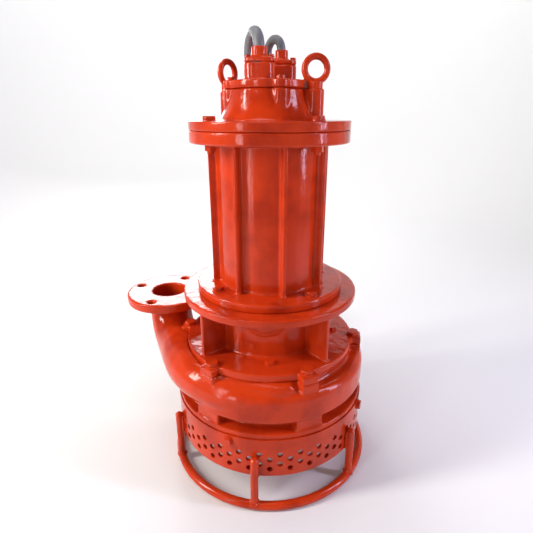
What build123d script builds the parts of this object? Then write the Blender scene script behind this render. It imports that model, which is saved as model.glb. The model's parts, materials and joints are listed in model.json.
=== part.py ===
from build123d import *
import os
from math import cos, pi, radians, sin, sqrt, tan

# Submersible slurry pump: an electric motor over an oil chamber, a volute casing with
# a rising discharge elbow, and a perforated strainer on a ring stand.
# Millimetres, +Z up. The origin is on the shaft axis at the floor under the stand.
# Azimuths are degrees round the shaft axis seen from above, with -90 at the front.

os.makedirs("parts", exist_ok=True)

# Clearances
seat_gap = 0.1  # a piece fixed in a bore or on a shaft
weld_gap = 0.3  # curved faces that meet along a weld
hole_gap = 0.8  # a bolt shank in its clearance hole
seal_gap = 0.05  # lapped faces of the shaft seals
air_gap = 0.7  # rotor to stator
flow_gap = 3.0  # impeller to the liners beside it
web_gap = 6.0  # shaft to the fixed webs round it
ball_gap = 0.3  # balls to their raceways
cap_gap = 2.0  # shaft to the bearing caps
overrun = 1.0  # a cut past the face that it opens
tap_spare = 1.0  # a tapped hole below its bolt's end

# Ring stand
ring_bar_d = 18.0
leg_d = 16.0
leg_count = 6
leg_azimuth = -98.0
leg_top = 128.0

# Strainer
strainer_radius = 210.0
strainer_wall = 6.0
strainer_bottom = 77.0
strainer_rim = 16.0
strainer_hole_d = 11.5
strainer_holes = 32
strainer_rows = 4
strainer_first_row = 95.5
strainer_row_pitch = 11.5
strainer_bolt_azimuth = -113.0
strainer_bolt_count = 4
strainer_bolt_l = 24.0

# Suction cover, throat bush and agitator
suction_radius = 60.0
suction_flare = 12.0
suction_cover_t = 24.0
suction_spigot_radius = 145.0
suction_spigot_h = 14.0
suction_bolt_circle = 175.0
suction_bolt_count = 6
throat_bush_radius = 76.0
throat_bush_h = 29.0
throat_proud = 4.0
agitator_radius = 95.0
agitator_h = 42.0
agitator_blade_t = 10.0
agitator_blade_h = 34.0
agitator_blades = 4
agitator_blade_azimuth = 20.0
agitator_blade_bend = 14.0
agitator_blade_sweep = 36.0
agitator_blade_rise = 2.0
agitator_hub_radius = 30.0
agitator_nut_width = 46.0
agitator_nut_h = 15.0
spacer_radius = 26.0

# Volute casing
casing_bottom = 165.0
casing_h = 112.0
casing_foot_t = 12.0
casing_foot_radius = 208.0
belly_radius = 209.0
belly_bottom = 36.0  # above the casing's lower face
belly_top = 96.0
pocket_radius = 181.0
shoulder_radius = 179.0
cavity_radius = 188.0
cavity_floor_radius = 165.0
column_count = 6
column_azimuth = -127.5
column_radius = 204.0
column_w = 56.0
column_root = 8.0  # column sunk in the pocket's wall
column_lap = 10.0  # column carried up into the belly
casing_mouth_radius = 160.0
mouth_drop = 1.0  # mouth below the belly's top
cavity_lead = 5.0
cavity_shelf = 6.0
cavity_slope = 9.0
pocket_fillet = 4.0
belly_lower_fillet = 5.0
belly_upper_fillet = 18.0
shoulder_fillet = 6.0
casing_bolt_grip = 13.0
facing = 5.0  # stock faced off the casing's upper side

# Discharge elbow and flange
outlet_azimuth = -157.0
outlet_tangent_radius = 186.0
outlet_level = 72.0  # above the casing's lower face
outlet_run = 122.0
elbow_radius = 80.0
outlet_bore_d = 80.0
outlet_wall = 10.0
outlet_neck_h = 6.0
discharge_flange_d = 200.0
discharge_flange_t = 20.0
discharge_pcd = 160.0
discharge_hole_d = 18.0
discharge_holes = 4
discharge_hole_azimuth = 72.0

# Impeller
impeller_radius = 132.0
impeller_eye_radius = 62.0
impeller_front_t = 11.0
impeller_back_t = 12.0
impeller_vanes = 5
impeller_vane_t = 11.0
impeller_vane_sweep = 75.0
impeller_vane_lead = 12.0
impeller_hub_radius = 34.0
rear_liner_t = 18.0
liner_bolt_circle = 141.0
liner_bolt_count = 4
liner_bolt_azimuth = -90.0
liner_bolt_grip = 12.6

# Bracket with the oil chamber
plate_t = 16.0
plate_radius = 183.0
lug_radius = 203.0
lug_w = 34.0
lug_lap = 20.0  # lug carried down into the belly
lug_root = 4.0
casing_bolt_circle = 185.5
neck_radius = 121.0
neck_wall = 17.0
neck_h = 97.0
neck_fillet = 5.0
chamber_fillet = 8.0
rib_count = 4
rib_azimuth = -140.0
rib_radius = 176.0
rib_t = 8.0
disc_radius = 184.0
disc_t = 16.0
chamber_roof_t = 46.0
oil_plug_azimuth = -94.0
oil_plug_width = 22.0
oil_plug_head_h = 5.0
oil_plug_thread_d = 16.0
oil_plug_drop = 25.0  # under the upper disc
plug_rim_l = 70.0
plug_rim_h = 42.0
plug_rim_w = 3.5
plug_rim_rise = 2.5

# Shaft
impeller_seat_r = 17.0
seal_shaft_r = 22.5
rotor_seat_r = 28.0
shaft_shoulder_r = 24.0
shaft_end_drop = 4.0  # thread below the agitator's nut
shaft_end_chamfer = 2.0
shaft_end_rise = 2.0
impeller_key_w = 10.0
impeller_key_h = 8.0
impeller_key_l = 36.0
seal_seat_radius = 38.0
seal_seat_t = 10.0
seal_seat_gap = 1.0  # shaft to the still seats
seal_head_radius = 34.0
seal_head_l = 21.0
seal_nose_inset = 4.0
seal_nose_h = 5.0
seal_collar_radius = 32.0
seal_web_t = 7.0

# Bearings: bore radius, outer radius, width and balls
lower_bearing_bore_r = 25.0
lower_bearing_radius = 55.0
lower_bearing_w = 27.0
upper_bearing_bore_r = 20.0
upper_bearing_radius = 45.0
upper_bearing_w = 23.0
bearing_balls = 8
ball_share = 0.29  # ball radius in the space between the bore and the outside
land_share = 0.55  # ring land from the pitch circle, in ball radii
cage_half_h = 1.25  # in ball radii
cage_half_t = 0.22  # in ball radii
relief_h = 2.0  # recess that keeps a shoulder off the inner ring
cap_t = 9.0
cap_overlap = 25.0  # the cap's flange outside the bearing bore
cap_screw_count = 4
cap_screw_azimuth = 45.0
cap_recess = 0.5
cap_recess_overlap = 10.0  # recess inside the bearing's outside
cap_screw_offset = 13.75  # screw circle outside the bearing bore
lower_screw_grip = 16.0
upper_screw_grip = 12.0

# Motor
motor_flange_radius = 154.0
motor_foot_t = 17.0
motor_head_t = 23.0
barrel_radius = 105.0
barrel_wall = 14.0
barrel_h = 279.0
barrel_ribs = 8
barrel_rib_azimuth = -122.0
barrel_rib_radius = 121.0
barrel_rib_t = 8.0
barrel_fillet = 4.0
flange_fillet = 2.0
rotor_radius = 59.5
end_ring_inset = 2.0
end_ring_w = 10.0
end_ring_h = 10.0
core_h = 150.0
core_rise = 84.0  # core above the motor's lower face
winding_h = 38.0
winding_inset = 8.0
winding_fillet = 6.0
frame_bolt_circle = 130.0
motor_bolt_count = 4
motor_bolt_azimuth = -142.0
frame_bolt_spare = 1.0  # short of the disc's lower face

# Top cover and lifting eyes
cover_t = 17.0
cover_bolt_circle = 133.0
cover_nut_h = 10.0
cover_bolt_proud = 5.0  # thread past the nut
bell_foot_radius = 97.0
bell_waist_radius = 83.5
bell_waist_h = 25.0
bell_radius = 75.5
bell_h = 54.0
terminal_radius = 60.0
terminal_depth = 32.0
bearing_roof_t = 8.0
post_azimuth = -27.0
post_circle = 91.0
post_d = 32.0
post_h = 53.0
eye_outer_d = 52.0
eye_inner_d = 29.0
eye_collar_d = 26.0
eye_collar_h = 12.0
eye_shank_d = 12.0
eye_shank_l = 26.0
eye_turns = (8.0, 52.0)

# Terminal cover, glands and terminal block
lid_radius = 77.5
lid_t = 14.0
lid_land = 6.0
lid_lug_d = 30.0
lid_bolt_circle = 72.0
lid_bolt_count = 4
lid_bolt_azimuth = -75.0
lid_bolt_grip = 16.0
boss_drop = 44.0
turret_h = 28.0
turret_l = 55.0
turret_w = 36.0
turret_wall = 5.0
gland_plate_t = 8.0
gland_plate_inset = 6.0
gland_neck_h = 17.0
gland_neck_wall = 4.0
gland_bolt_spacing = 42.0
gland_bolt_grip = 14.0
grommet_h = 16.0
gland_places = ((-18.0, -40.0), (22.0, 8.0))
gland_turns = (-14.0, -8.0)
block_l = 62.0
block_w = 36.0
block_h = 18.0
block_corner = 5.0
stud_d = 6.0
stud_h = 8.0

# Cables: the power lead first, the control lead second
cable_diameters = (20.0, 16.0)
coil_centre_y = 520.0
coil_mean_radius = (178.0, 144.0)
coil_columns = (5, 6)
coil_layers = 2
coil_end_azimuth = (169.0, 11.0)
coil_end_radius = (210.0, 178.0)
coil_end_arc = 30.0
core_d = 5.0
core_l = 45.0
core_count = 4
power_route = (
    (-18, -40, 847),
    (-18, -40, 871.4),
    (-23.7, -23.8, 889),
    (-32.2, 0.2, 889),
    (-37.9, 16.1, 871.4),
    (-38.5, 27, 851),
    (-38, 49, 840),
    (-37, 86, 827),
    (-36, 132, 801),
    (-36, 178, 759),
    (-37, 209, 704),
    (-38, 224, 642),
    (-41, 231, 576),
    (-47, 236, 508),
    (-56, 240, 440),
    (-67, 245, 372),
    (-80, 251, 306),
    (-95, 258, 242),
    (-111, 265, 180),
    (-127, 274, 124),
    (-144, 290, 76),
    (-161, 316, 40),
    (-178, 351, 18),
    (-194, 393, 10),
    (-206.6, 436, 10),
)
control_route = (
    (22, 8, 852),
    (22, 8, 870),
    (14.4, 18.5, 883),
    (3.6, 33.5, 883),
    (-4, 44, 870),
    (-3, 54, 854),
    (1, 74, 842),
    (7, 103, 827),
    (13, 141, 801),
    (19, 180, 760),
    (25, 209, 704),
    (30, 224, 642),
    (36, 231, 577),
    (43, 236, 510),
    (52, 241, 442),
    (63, 246, 376),
    (76, 252, 312),
    (91, 260, 250),
    (107, 271, 191),
    (124, 288, 138),
    (142, 315, 94),
    (158, 353, 66),
    (171, 398, 52),
    (180, 447, 48.3),
)

# Bolt sizes: shank diameter, head width across flats, head height
m6 = (6.0, 10.0, 4.0)
m8 = (8.0, 13.0, 5.5)
m10 = (10.0, 17.0, 7.0)
m12 = (12.0, 19.0, 8.0)
m14 = (14.0, 22.0, 9.0)

# Levels up the axis
casing_top = casing_bottom + casing_h
plate_top = casing_top + plate_t
disc_bottom = plate_top + neck_h
bracket_top = disc_bottom + disc_t
barrel_bottom = bracket_top + motor_foot_t
barrel_top = barrel_bottom + barrel_h
motor_top = barrel_top + motor_head_t
cover_top = motor_top + cover_t
bell_top = cover_top + bell_h
lid_top = bell_top + lid_t
turret_top = lid_top + turret_h
gland_top = turret_top + gland_plate_t + gland_neck_h
suction_bottom = casing_bottom - suction_cover_t
throat_top = casing_bottom + suction_spigot_h + throat_proud
throat_bottom = throat_top - throat_bush_h
liner_bottom = casing_top - rear_liner_t
impeller_top = liner_bottom - flow_gap
impeller_bottom = throat_top + flow_gap
chamber_roof = bracket_top - chamber_roof_t
core_bottom = bracket_top + core_rise
core_top = core_bottom + core_h
lower_bearing_bottom = bracket_top - lower_bearing_w
upper_bearing_top = motor_top + upper_bearing_w
stand_radius = strainer_radius + weld_gap + leg_d / 2
outlet_height = casing_bottom + outlet_level
discharge_bottom = outlet_height + elbow_radius + outlet_neck_h
discharge_top = discharge_bottom + discharge_flange_t


def on_circle(radius, azimuth, level=0.0):
    """Point at a radius and an azimuth round the shaft axis."""
    return Vector(radius * cos(radians(azimuth)), radius * sin(radians(azimuth)), level)


def hex_bolt(size, length):
    """Hexagon-headed bolt along Z, its head standing on Z = 0."""
    shank_d, width, height = size
    with BuildPart() as bolt:
        with BuildSketch():
            RegularPolygon(width / 2, 6, major_radius=False)
        extrude(amount=height)
        with BuildSketch():
            Circle(shank_d / 2)
        extrude(amount=-length)
    return bolt.part


def revolved(*points):
    """Solid of revolution about the shaft axis from a closed (radius, level) outline."""
    with BuildPart() as turned:
        with BuildSketch(Plane.XZ):
            with BuildLine():
                Polyline(*points, close=True)
            make_face()
        revolve(axis=Axis.Z)
    return turned.part


def tube(inner, outer, bottom, top):
    """Plain ring between two radii and two levels."""
    return revolved((inner, bottom), (outer, bottom), (outer, top), (inner, top))


# Base ring
with BuildPart() as base_ring:
    with Locations((0, 0, ring_bar_d / 2)):
        Torus(stand_radius, ring_bar_d / 2)
base_ring.part.label = "base_ring"
export_step(base_ring.part, "parts/base_ring.step")

# Stand legs: bars saddled on the ring and welded to the strainer's wall
with BuildPart() as stand_legs:
    with BuildSketch(Plane.XY.offset(ring_bar_d / 2)):
        with PolarLocations(stand_radius, leg_count, leg_azimuth):
            Circle(leg_d / 2)
    extrude(amount=leg_top - ring_bar_d / 2)
    chamfer(stand_legs.faces().filter_by(Axis.Z).group_by(Axis.Z)[-1].edges(), leg_d / 4)
    with Locations((0, 0, ring_bar_d / 2)):
        Torus(stand_radius, ring_bar_d / 2 + weld_gap, mode=Mode.SUBTRACT)
stand_legs.part.label = "stand_legs"
export_step(stand_legs.part, "parts/stand_legs.step")

# Strainer: a rolled wall with staggered rows of holes and a stiffening rim
strainer_inner = strainer_radius - strainer_wall
strainer_bolt_level = casing_bottom - suction_cover_t * 0.6
with BuildPart() as hole_punch:
    with BuildSketch(Plane.YZ):
        RegularPolygon(strainer_hole_d / 2, 8)
    extrude(amount=strainer_wall, both=True)
with BuildPart() as strainer:
    add(
        revolved(
            (strainer_inner - strainer_rim, strainer_bottom),
            (strainer_radius, strainer_bottom),
            (strainer_radius, casing_bottom),
            (strainer_inner, casing_bottom),
            (strainer_inner, strainer_bottom + strainer_wall),
            (strainer_inner - strainer_rim, strainer_bottom + strainer_wall),
        )
    )
    for row in range(strainer_rows):
        stagger = (row % 2) * 180.0 / strainer_holes
        with Locations((0, 0, strainer_first_row + row * strainer_row_pitch)):
            with PolarLocations(strainer_radius - strainer_wall / 2, strainer_holes, stagger):
                add(hole_punch.part, clean=False, mode=Mode.SUBTRACT)
    with Locations((0, 0, strainer_bolt_level)):
        with PolarLocations(strainer_radius, strainer_bolt_count, strainer_bolt_azimuth):
            Cylinder(m10[0] / 2 + hole_gap, 4 * strainer_wall, rotation=(0, 90, 0), mode=Mode.SUBTRACT)
strainer.part.label = "strainer"
export_step(strainer.part, "parts/strainer.step")

# Strainer bolts: radial, heads on flat-bottomed washers against the wall
strainer_bolt_shape = hex_bolt(m10, strainer_bolt_l)
with BuildPart() as strainer_bolts:
    with Locations((0, 0, strainer_bolt_level)):
        with PolarLocations(strainer_radius + weld_gap, strainer_bolt_count, strainer_bolt_azimuth):
            add(strainer_bolt_shape, rotation=(0, 90, 0))
strainer_bolts.part.label = "strainer_bolts"
export_step(strainer_bolts.part, "parts/strainer_bolts.step")

# Suction cover: closes the casing from below and carries the throat bush
suction_cover_radius = strainer_inner - weld_gap
with BuildPart() as suction_cover:
    add(
        revolved(
            (suction_radius + suction_flare, suction_bottom),
            (suction_cover_radius, suction_bottom),
            (suction_cover_radius, casing_bottom),
            (suction_spigot_radius - weld_gap, casing_bottom),
            (suction_spigot_radius - weld_gap, casing_bottom + suction_spigot_h),
            (throat_bush_radius, casing_bottom + suction_spigot_h),
            (throat_bush_radius, throat_bottom),
            (suction_radius, throat_bottom),
        )
    )
    with Locations((0, 0, suction_bottom)):
        with PolarLocations(suction_bolt_circle, suction_bolt_count):
            Cylinder(
                m12[0] / 2 + hole_gap,
                suction_cover_t,
                align=(Align.CENTER, Align.CENTER, Align.MIN),
                mode=Mode.SUBTRACT,
            )
    with Locations((0, 0, strainer_bolt_level)):
        with PolarLocations(suction_cover_radius, strainer_bolt_count, strainer_bolt_azimuth):
            Cylinder(m10[0] / 2 + seat_gap, 2 * strainer_bolt_l, rotation=(0, 90, 0), mode=Mode.SUBTRACT)
suction_cover.part.label = "suction_cover"
export_step(suction_cover.part, "parts/suction_cover.step")

# Throat bush: the wear ring at the impeller's eye
with BuildPart() as throat_bush:
    add(tube(suction_radius, throat_bush_radius - seat_gap, throat_bottom, throat_top))
throat_bush.part.label = "throat_bush"
export_step(throat_bush.part, "parts/throat_bush.step")

# Suction cover bolts, driven up into the casing's foot
suction_bolt_l = suction_cover_t + casing_foot_t
suction_bolt_shape = hex_bolt(m12, suction_bolt_l)
with BuildPart() as suction_bolts:
    with Locations((0, 0, suction_bottom)):
        with PolarLocations(suction_bolt_circle, suction_bolt_count):
            add(suction_bolt_shape, rotation=(180, 0, 0))
suction_bolts.part.label = "suction_bolts"
export_step(suction_bolts.part, "parts/suction_bolts.step")

# Volute casing: belly between pockets, bolt columns, and the outlet that grows out of
# the scroll, runs off as a tangent and bends up to the discharge flange
outlet_heading = Vector(sin(radians(outlet_azimuth)), -cos(radians(outlet_azimuth)), 0)
outlet_normal = on_circle(1, outlet_azimuth)
outlet_start = on_circle(outlet_tangent_radius, outlet_azimuth, outlet_height)
outlet_bend = outlet_start + outlet_heading * outlet_run
discharge_axis = outlet_bend + outlet_heading * elbow_radius
outlet_bore_r = outlet_bore_d / 2
elbow_turns = (0, 30, 60, 90)
# Degrees back along the scroll and how far in from the tangent radius
scroll_steps = ((85.0, 28.0), (56.0, 24.0), (27.0, 13.0), (0.0, 0.0))
# Shares of the outlet's bore and outside radius from the scroll to the flange
passage_growth = (0.5, 0.55, 0.6, 0.7, 0.85, 0.93, 1.0, 1.0)
shell_growth = (0.8, 0.84, 0.88, 0.92, 0.98, 1.0, 1.0, 1.0)


def outlet_planes():
    """Section planes along the scroll, the tangent run and the elbow."""
    planes = []
    for back, inset in scroll_steps:
        azimuth = outlet_azimuth + back
        place = on_circle(outlet_tangent_radius - inset, azimuth, outlet_height)
        heading = Vector(sin(radians(azimuth)), -cos(radians(azimuth)), 0)
        planes.append(Plane(origin=place, x_dir=on_circle(1, azimuth), z_dir=heading))
    for turn in elbow_turns:
        along = outlet_heading * elbow_radius * sin(radians(turn))
        rise = Vector(0, 0, elbow_radius * (1 - cos(radians(turn))))
        heading = outlet_heading * cos(radians(turn)) + Vector(0, 0, sin(radians(turn)))
        planes.append(Plane(origin=outlet_bend + along + rise, x_dir=outlet_normal, z_dir=heading))
    return planes


def outlet_solid(radius, growth):
    """Outlet that widens from the scroll to a radius at its flange."""
    with BuildPart() as passage:
        for plane, share in zip(outlet_planes(), growth):
            with BuildSketch(plane):
                Circle(radius * share)
        loft()
    return passage.part


outlet_shell = outlet_solid(outlet_bore_r + outlet_wall, shell_growth)
outlet_passage = outlet_solid(outlet_bore_r, passage_growth)
cavity = revolved(
    (0, casing_bottom - overrun),
    (suction_spigot_radius, casing_bottom - overrun),
    (suction_spigot_radius, casing_bottom + suction_spigot_h),
    (cavity_floor_radius, casing_bottom + suction_spigot_h + cavity_lead),
    (cavity_floor_radius, casing_bottom + belly_bottom + cavity_shelf),
    (cavity_radius, casing_bottom + belly_bottom + cavity_shelf + cavity_slope),
    (cavity_radius, casing_bottom + belly_top - cavity_slope),
    (casing_mouth_radius, casing_bottom + belly_top - mouth_drop),
    (casing_mouth_radius, casing_top + overrun),
    (0, casing_top + overrun),
)
casing_bolt_l = plate_t + casing_bolt_grip
bracket_room = plate_t + m14[2] + weld_gap  # faced off for the bracket and its bolt heads
with BuildPart() as volute_casing:
    with BuildSketch(Plane.XZ):
        with BuildLine():
            FilletPolyline(
                (0, casing_bottom),
                (casing_foot_radius, casing_bottom),
                (casing_foot_radius, casing_bottom + casing_foot_t),
                (pocket_radius, casing_bottom + casing_foot_t),
                (pocket_radius, casing_bottom + belly_bottom),
                (belly_radius, casing_bottom + belly_bottom),
                (belly_radius, casing_bottom + belly_top),
                (shoulder_radius, casing_bottom + belly_top),
                (shoulder_radius, casing_top + facing),
                (0, casing_top + facing),
                radius=(
                    0,
                    0,
                    0,
                    pocket_fillet,
                    pocket_fillet,
                    belly_lower_fillet,
                    belly_upper_fillet,
                    shoulder_fillet,
                    0,
                    0,
                ),
                close=True,
            )
        make_face()
    revolve(axis=Axis.Z)
    with PolarLocations(0, column_count, column_azimuth):
        with Locations((column_radius, 0, casing_bottom)):
            Box(
                column_radius - pocket_radius + column_root,
                column_w,
                belly_bottom + column_lap,
                align=(Align.MAX, Align.CENTER, Align.MIN),
            )
        with Locations((lug_radius, 0, casing_bottom + belly_top - lug_lap)):
            Box(
                lug_radius - casing_mouth_radius - lug_root,
                lug_w,
                casing_h - belly_top + lug_lap + facing,
                align=(Align.MAX, Align.CENTER, Align.MIN),
            )
    add(outlet_shell)
    with BuildSketch(Plane.XY.offset(outlet_height + elbow_radius)):
        with Locations((discharge_axis.X, discharge_axis.Y)):
            Circle(outlet_bore_r + outlet_wall)
    extrude(amount=outlet_neck_h)
    with BuildSketch(Plane.XY.offset(discharge_bottom)):
        with Locations((discharge_axis.X, discharge_axis.Y)):
            Circle(discharge_flange_d / 2)
            with PolarLocations(discharge_pcd / 2, discharge_holes, discharge_hole_azimuth):
                Circle(discharge_hole_d / 2, mode=Mode.SUBTRACT)
    extrude(amount=discharge_flange_t)
    with BuildSketch(Plane.XY.offset(casing_top)):
        Circle(plate_radius + weld_gap)
        with PolarLocations(lug_radius / 2, column_count, column_azimuth):
            Rectangle(lug_radius + 2 * weld_gap, lug_w + 2 * weld_gap)
    extrude(amount=bracket_room, mode=Mode.SUBTRACT)
    with BuildSketch(Plane.XY.offset(casing_bottom)):
        with PolarLocations(suction_bolt_circle, suction_bolt_count):
            Circle(m12[0] / 2 + seat_gap)
    extrude(amount=suction_bolt_l - suction_cover_t + tap_spare, mode=Mode.SUBTRACT)
    with BuildSketch(Plane.XY.offset(casing_top)):
        with PolarLocations(casing_bolt_circle, column_count, column_azimuth):
            Circle(m14[0] / 2 + seat_gap)
    extrude(amount=-(casing_bolt_l - plate_t + tap_spare), mode=Mode.SUBTRACT)
    add(cavity, mode=Mode.SUBTRACT)
    with BuildSketch(Plane.XY.offset(outlet_height + elbow_radius)):
        with Locations((discharge_axis.X, discharge_axis.Y)):
            Circle(outlet_bore_r)
    extrude(amount=outlet_neck_h + discharge_flange_t, mode=Mode.SUBTRACT)
    add(outlet_passage, mode=Mode.SUBTRACT)
volute_casing.part.label = "volute_casing"
export_step(volute_casing.part, "parts/volute_casing.step")

# Rear liner, hung from the bracket's plate inside the casing's mouth
liner_bore = seal_shaft_r + web_gap
liner_bolt_l = plate_t + liner_bolt_grip
with BuildPart() as rear_liner:
    add(tube(liner_bore, casing_mouth_radius - weld_gap, liner_bottom, casing_top))
    with BuildSketch(Plane.XY.offset(casing_top)):
        with PolarLocations(liner_bolt_circle, liner_bolt_count, liner_bolt_azimuth):
            Circle(m10[0] / 2 + seat_gap)
    extrude(amount=-(liner_bolt_l - plate_t + tap_spare), mode=Mode.SUBTRACT)
rear_liner.part.label = "rear_liner"
export_step(rear_liner.part, "parts/rear_liner.step")

# Impeller: closed, with backward-swept vanes for clockwise running seen from above
hub_bottom = impeller_bottom + impeller_front_t
vane_inner = impeller_eye_radius - impeller_vane_lead
vane_outer = impeller_radius - impeller_vane_t
vane_middle = (vane_inner + vane_outer) / 2
with BuildPart() as impeller:
    add(tube(impeller_eye_radius, impeller_radius, impeller_bottom, hub_bottom))
    add(tube(impeller_seat_r + seat_gap, impeller_radius, impeller_top - impeller_back_t, impeller_top))
    add(tube(impeller_seat_r + seat_gap, impeller_hub_radius, hub_bottom, impeller_top))
    with BuildSketch(Plane.XY.offset(hub_bottom - overrun)):
        for vane in range(impeller_vanes):
            lead = vane * 360.0 / impeller_vanes
            with BuildLine():
                ThreePointArc(
                    on_circle(vane_inner, lead),
                    on_circle(vane_middle, lead + impeller_vane_sweep / 2),
                    on_circle(vane_outer, lead + impeller_vane_sweep),
                )
            trace(line_width=impeller_vane_t)
    extrude(amount=impeller_top - impeller_back_t - hub_bottom + 2 * overrun)
    with Locations((impeller_seat_r, 0, impeller_top - impeller_key_l / 2 - impeller_back_t)):
        Box(impeller_key_h, impeller_key_w + seat_gap, impeller_key_l + seat_gap, mode=Mode.SUBTRACT)
impeller.part.label = "impeller"
export_step(impeller.part, "parts/impeller.step")

# Impeller key
with BuildPart() as impeller_key:
    with Locations((impeller_seat_r, 0, impeller_top - impeller_key_l / 2 - impeller_back_t)):
        Box(impeller_key_h - 2 * seat_gap, impeller_key_w - seat_gap, impeller_key_l - seat_gap)
impeller_key.part.label = "impeller_key"
export_step(impeller_key.part, "parts/impeller_key.step")

# Spacer sleeve between the impeller's hub and the agitator
agitator_top = suction_bottom - flow_gap
with BuildPart() as spacer_sleeve:
    add(tube(impeller_seat_r + seat_gap, spacer_radius, agitator_top, hub_bottom))
spacer_sleeve.part.label = "spacer_sleeve"
export_step(spacer_sleeve.part, "parts/spacer_sleeve.step")

# Agitator: stirs the settled solids under the suction
agitator_bottom = agitator_top - agitator_h
with BuildPart() as agitator:
    add(tube(impeller_seat_r + seat_gap, agitator_hub_radius, agitator_bottom, agitator_top))
    with BuildSketch(Plane.XY.offset(agitator_bottom + agitator_blade_rise)):
        for blade in range(agitator_blades):
            lead = blade * 360.0 / agitator_blades + agitator_blade_azimuth
            with BuildLine():
                ThreePointArc(
                    on_circle(agitator_hub_radius - agitator_blade_t / 2, lead),
                    on_circle((agitator_radius + agitator_hub_radius) / 2, lead + agitator_blade_bend),
                    on_circle(agitator_radius - agitator_blade_t / 2, lead + agitator_blade_sweep),
                )
            trace(line_width=agitator_blade_t)
    extrude(amount=agitator_blade_h)
agitator.part.label = "agitator"
export_step(agitator.part, "parts/agitator.step")

# Agitator nut on the shaft's lower thread
with BuildPart() as agitator_nut:
    with BuildSketch(Plane.XY.offset(agitator_bottom - agitator_nut_h)):
        RegularPolygon(agitator_nut_width / 2, 6, major_radius=False)
        Circle(impeller_seat_r + seat_gap, mode=Mode.SUBTRACT)
    extrude(amount=agitator_nut_h)
agitator_nut.part.label = "agitator_nut"
export_step(agitator_nut.part, "parts/agitator_nut.step")

# Bracket: base plate with lugs, ribbed neck round the oil chamber, and upper disc
bearing_shoulder = lower_bearing_bottom - seal_web_t
lower_relief_r = (lower_bearing_bore_r + lower_bearing_radius) / 2
frame_bolt_l = motor_foot_t + disc_t - frame_bolt_spare
cap_screw_circle = lower_bearing_radius + cap_screw_offset
cap_screw_l = cap_t + lower_screw_grip
oil_plug_level = disc_bottom - oil_plug_drop
plug_axis = on_circle(1, oil_plug_azimuth)
plug_plane = Plane(origin=(0, 0, oil_plug_level), x_dir=plug_axis.cross(Vector(0, 0, 1)), z_dir=plug_axis)
with BuildPart() as plug_rim:
    with BuildSketch(plug_plane):
        Ellipse(plug_rim_l / 2, plug_rim_h / 2)
        Ellipse(plug_rim_l / 2 - plug_rim_w, plug_rim_h / 2 - plug_rim_w, mode=Mode.SUBTRACT)
    extrude(amount=neck_radius + neck_wall)
    rim_skin = tube(neck_radius - neck_wall / 2, neck_radius + plug_rim_rise, plate_top, bracket_top)
    add(rim_skin, mode=Mode.INTERSECT)
with BuildPart() as bracket:
    with BuildSketch(Plane.XZ):
        with BuildLine():
            FilletPolyline(
                (seal_shaft_r + web_gap, casing_top),
                (plate_radius, casing_top),
                (plate_radius, plate_top),
                (neck_radius, plate_top),
                (neck_radius, disc_bottom),
                (disc_radius, disc_bottom),
                (disc_radius, bracket_top),
                (lower_bearing_radius + seat_gap, bracket_top),
                (lower_bearing_radius + seat_gap, lower_bearing_bottom),
                (lower_relief_r, lower_bearing_bottom),
                (lower_relief_r, lower_bearing_bottom - relief_h),
                (seal_shaft_r + web_gap, lower_bearing_bottom - relief_h),
                (seal_shaft_r + web_gap, bearing_shoulder),
                (seal_seat_radius, bearing_shoulder),
                (seal_seat_radius, chamber_roof),
                (neck_radius - neck_wall, chamber_roof),
                (neck_radius - neck_wall, plate_top),
                (seal_seat_radius, plate_top),
                (seal_seat_radius, plate_top - seal_seat_t),
                (seal_shaft_r + web_gap, plate_top - seal_seat_t),
                radius=(0,) * 3 + (neck_fillet,) * 2 + (0,) * 10 + (chamber_fillet,) * 2 + (0,) * 3,
                close=True,
            )
        make_face()
    revolve(axis=Axis.Z)
    with PolarLocations(0, column_count, column_azimuth):
        with Locations((lug_radius, 0, casing_top)):
            Box(
                lug_radius - neck_radius,
                lug_w,
                plate_t,
                align=(Align.MAX, Align.CENTER, Align.MIN),
            )
    with PolarLocations(0, rib_count, rib_azimuth):
        with Locations((rib_radius, 0, plate_top)):
            Box(
                rib_radius - neck_radius + neck_wall / 2,
                rib_t,
                neck_h,
                align=(Align.MAX, Align.CENTER, Align.MIN),
            )
    with BuildSketch(Plane.XY.offset(casing_top)):
        with PolarLocations(casing_bolt_circle, column_count, column_azimuth):
            Circle(m14[0] / 2 + hole_gap)
        with PolarLocations(liner_bolt_circle, liner_bolt_count, liner_bolt_azimuth):
            Circle(m10[0] / 2 + hole_gap)
    extrude(amount=plate_t, mode=Mode.SUBTRACT)
    with BuildSketch(Plane.XY.offset(bracket_top)):
        with PolarLocations(frame_bolt_circle, motor_bolt_count, motor_bolt_azimuth):
            Circle(m12[0] / 2 + seat_gap)
    extrude(amount=-disc_t, mode=Mode.SUBTRACT)
    with BuildSketch(Plane.XY.offset(bracket_top)):
        with PolarLocations(cap_screw_circle, cap_screw_count, cap_screw_azimuth):
            Circle(m8[0] / 2 + seat_gap)
    extrude(amount=-(cap_screw_l - cap_t + tap_spare), mode=Mode.SUBTRACT)
    add(plug_rim.part)
    with BuildSketch(plug_plane):
        Circle(oil_plug_thread_d / 2 + seat_gap)
    extrude(amount=neck_radius + neck_wall, mode=Mode.SUBTRACT)
bracket.part.label = "bracket"
export_step(bracket.part, "parts/bracket.step")

# Oil plug in the neck's front, inside a blank oval rim
plug_seat = Plane(origin=plug_axis * (neck_radius + weld_gap) + plug_plane.origin, z_dir=plug_axis)
with BuildPart() as oil_plug:
    with BuildSketch(plug_seat):
        RegularPolygon(oil_plug_width / 2, 6, major_radius=False)
    extrude(amount=oil_plug_head_h)
    with BuildSketch(plug_seat):
        Circle(oil_plug_thread_d / 2)
    extrude(amount=-neck_wall)
oil_plug.part.label = "oil_plug"
export_step(oil_plug.part, "parts/oil_plug.step")

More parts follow.
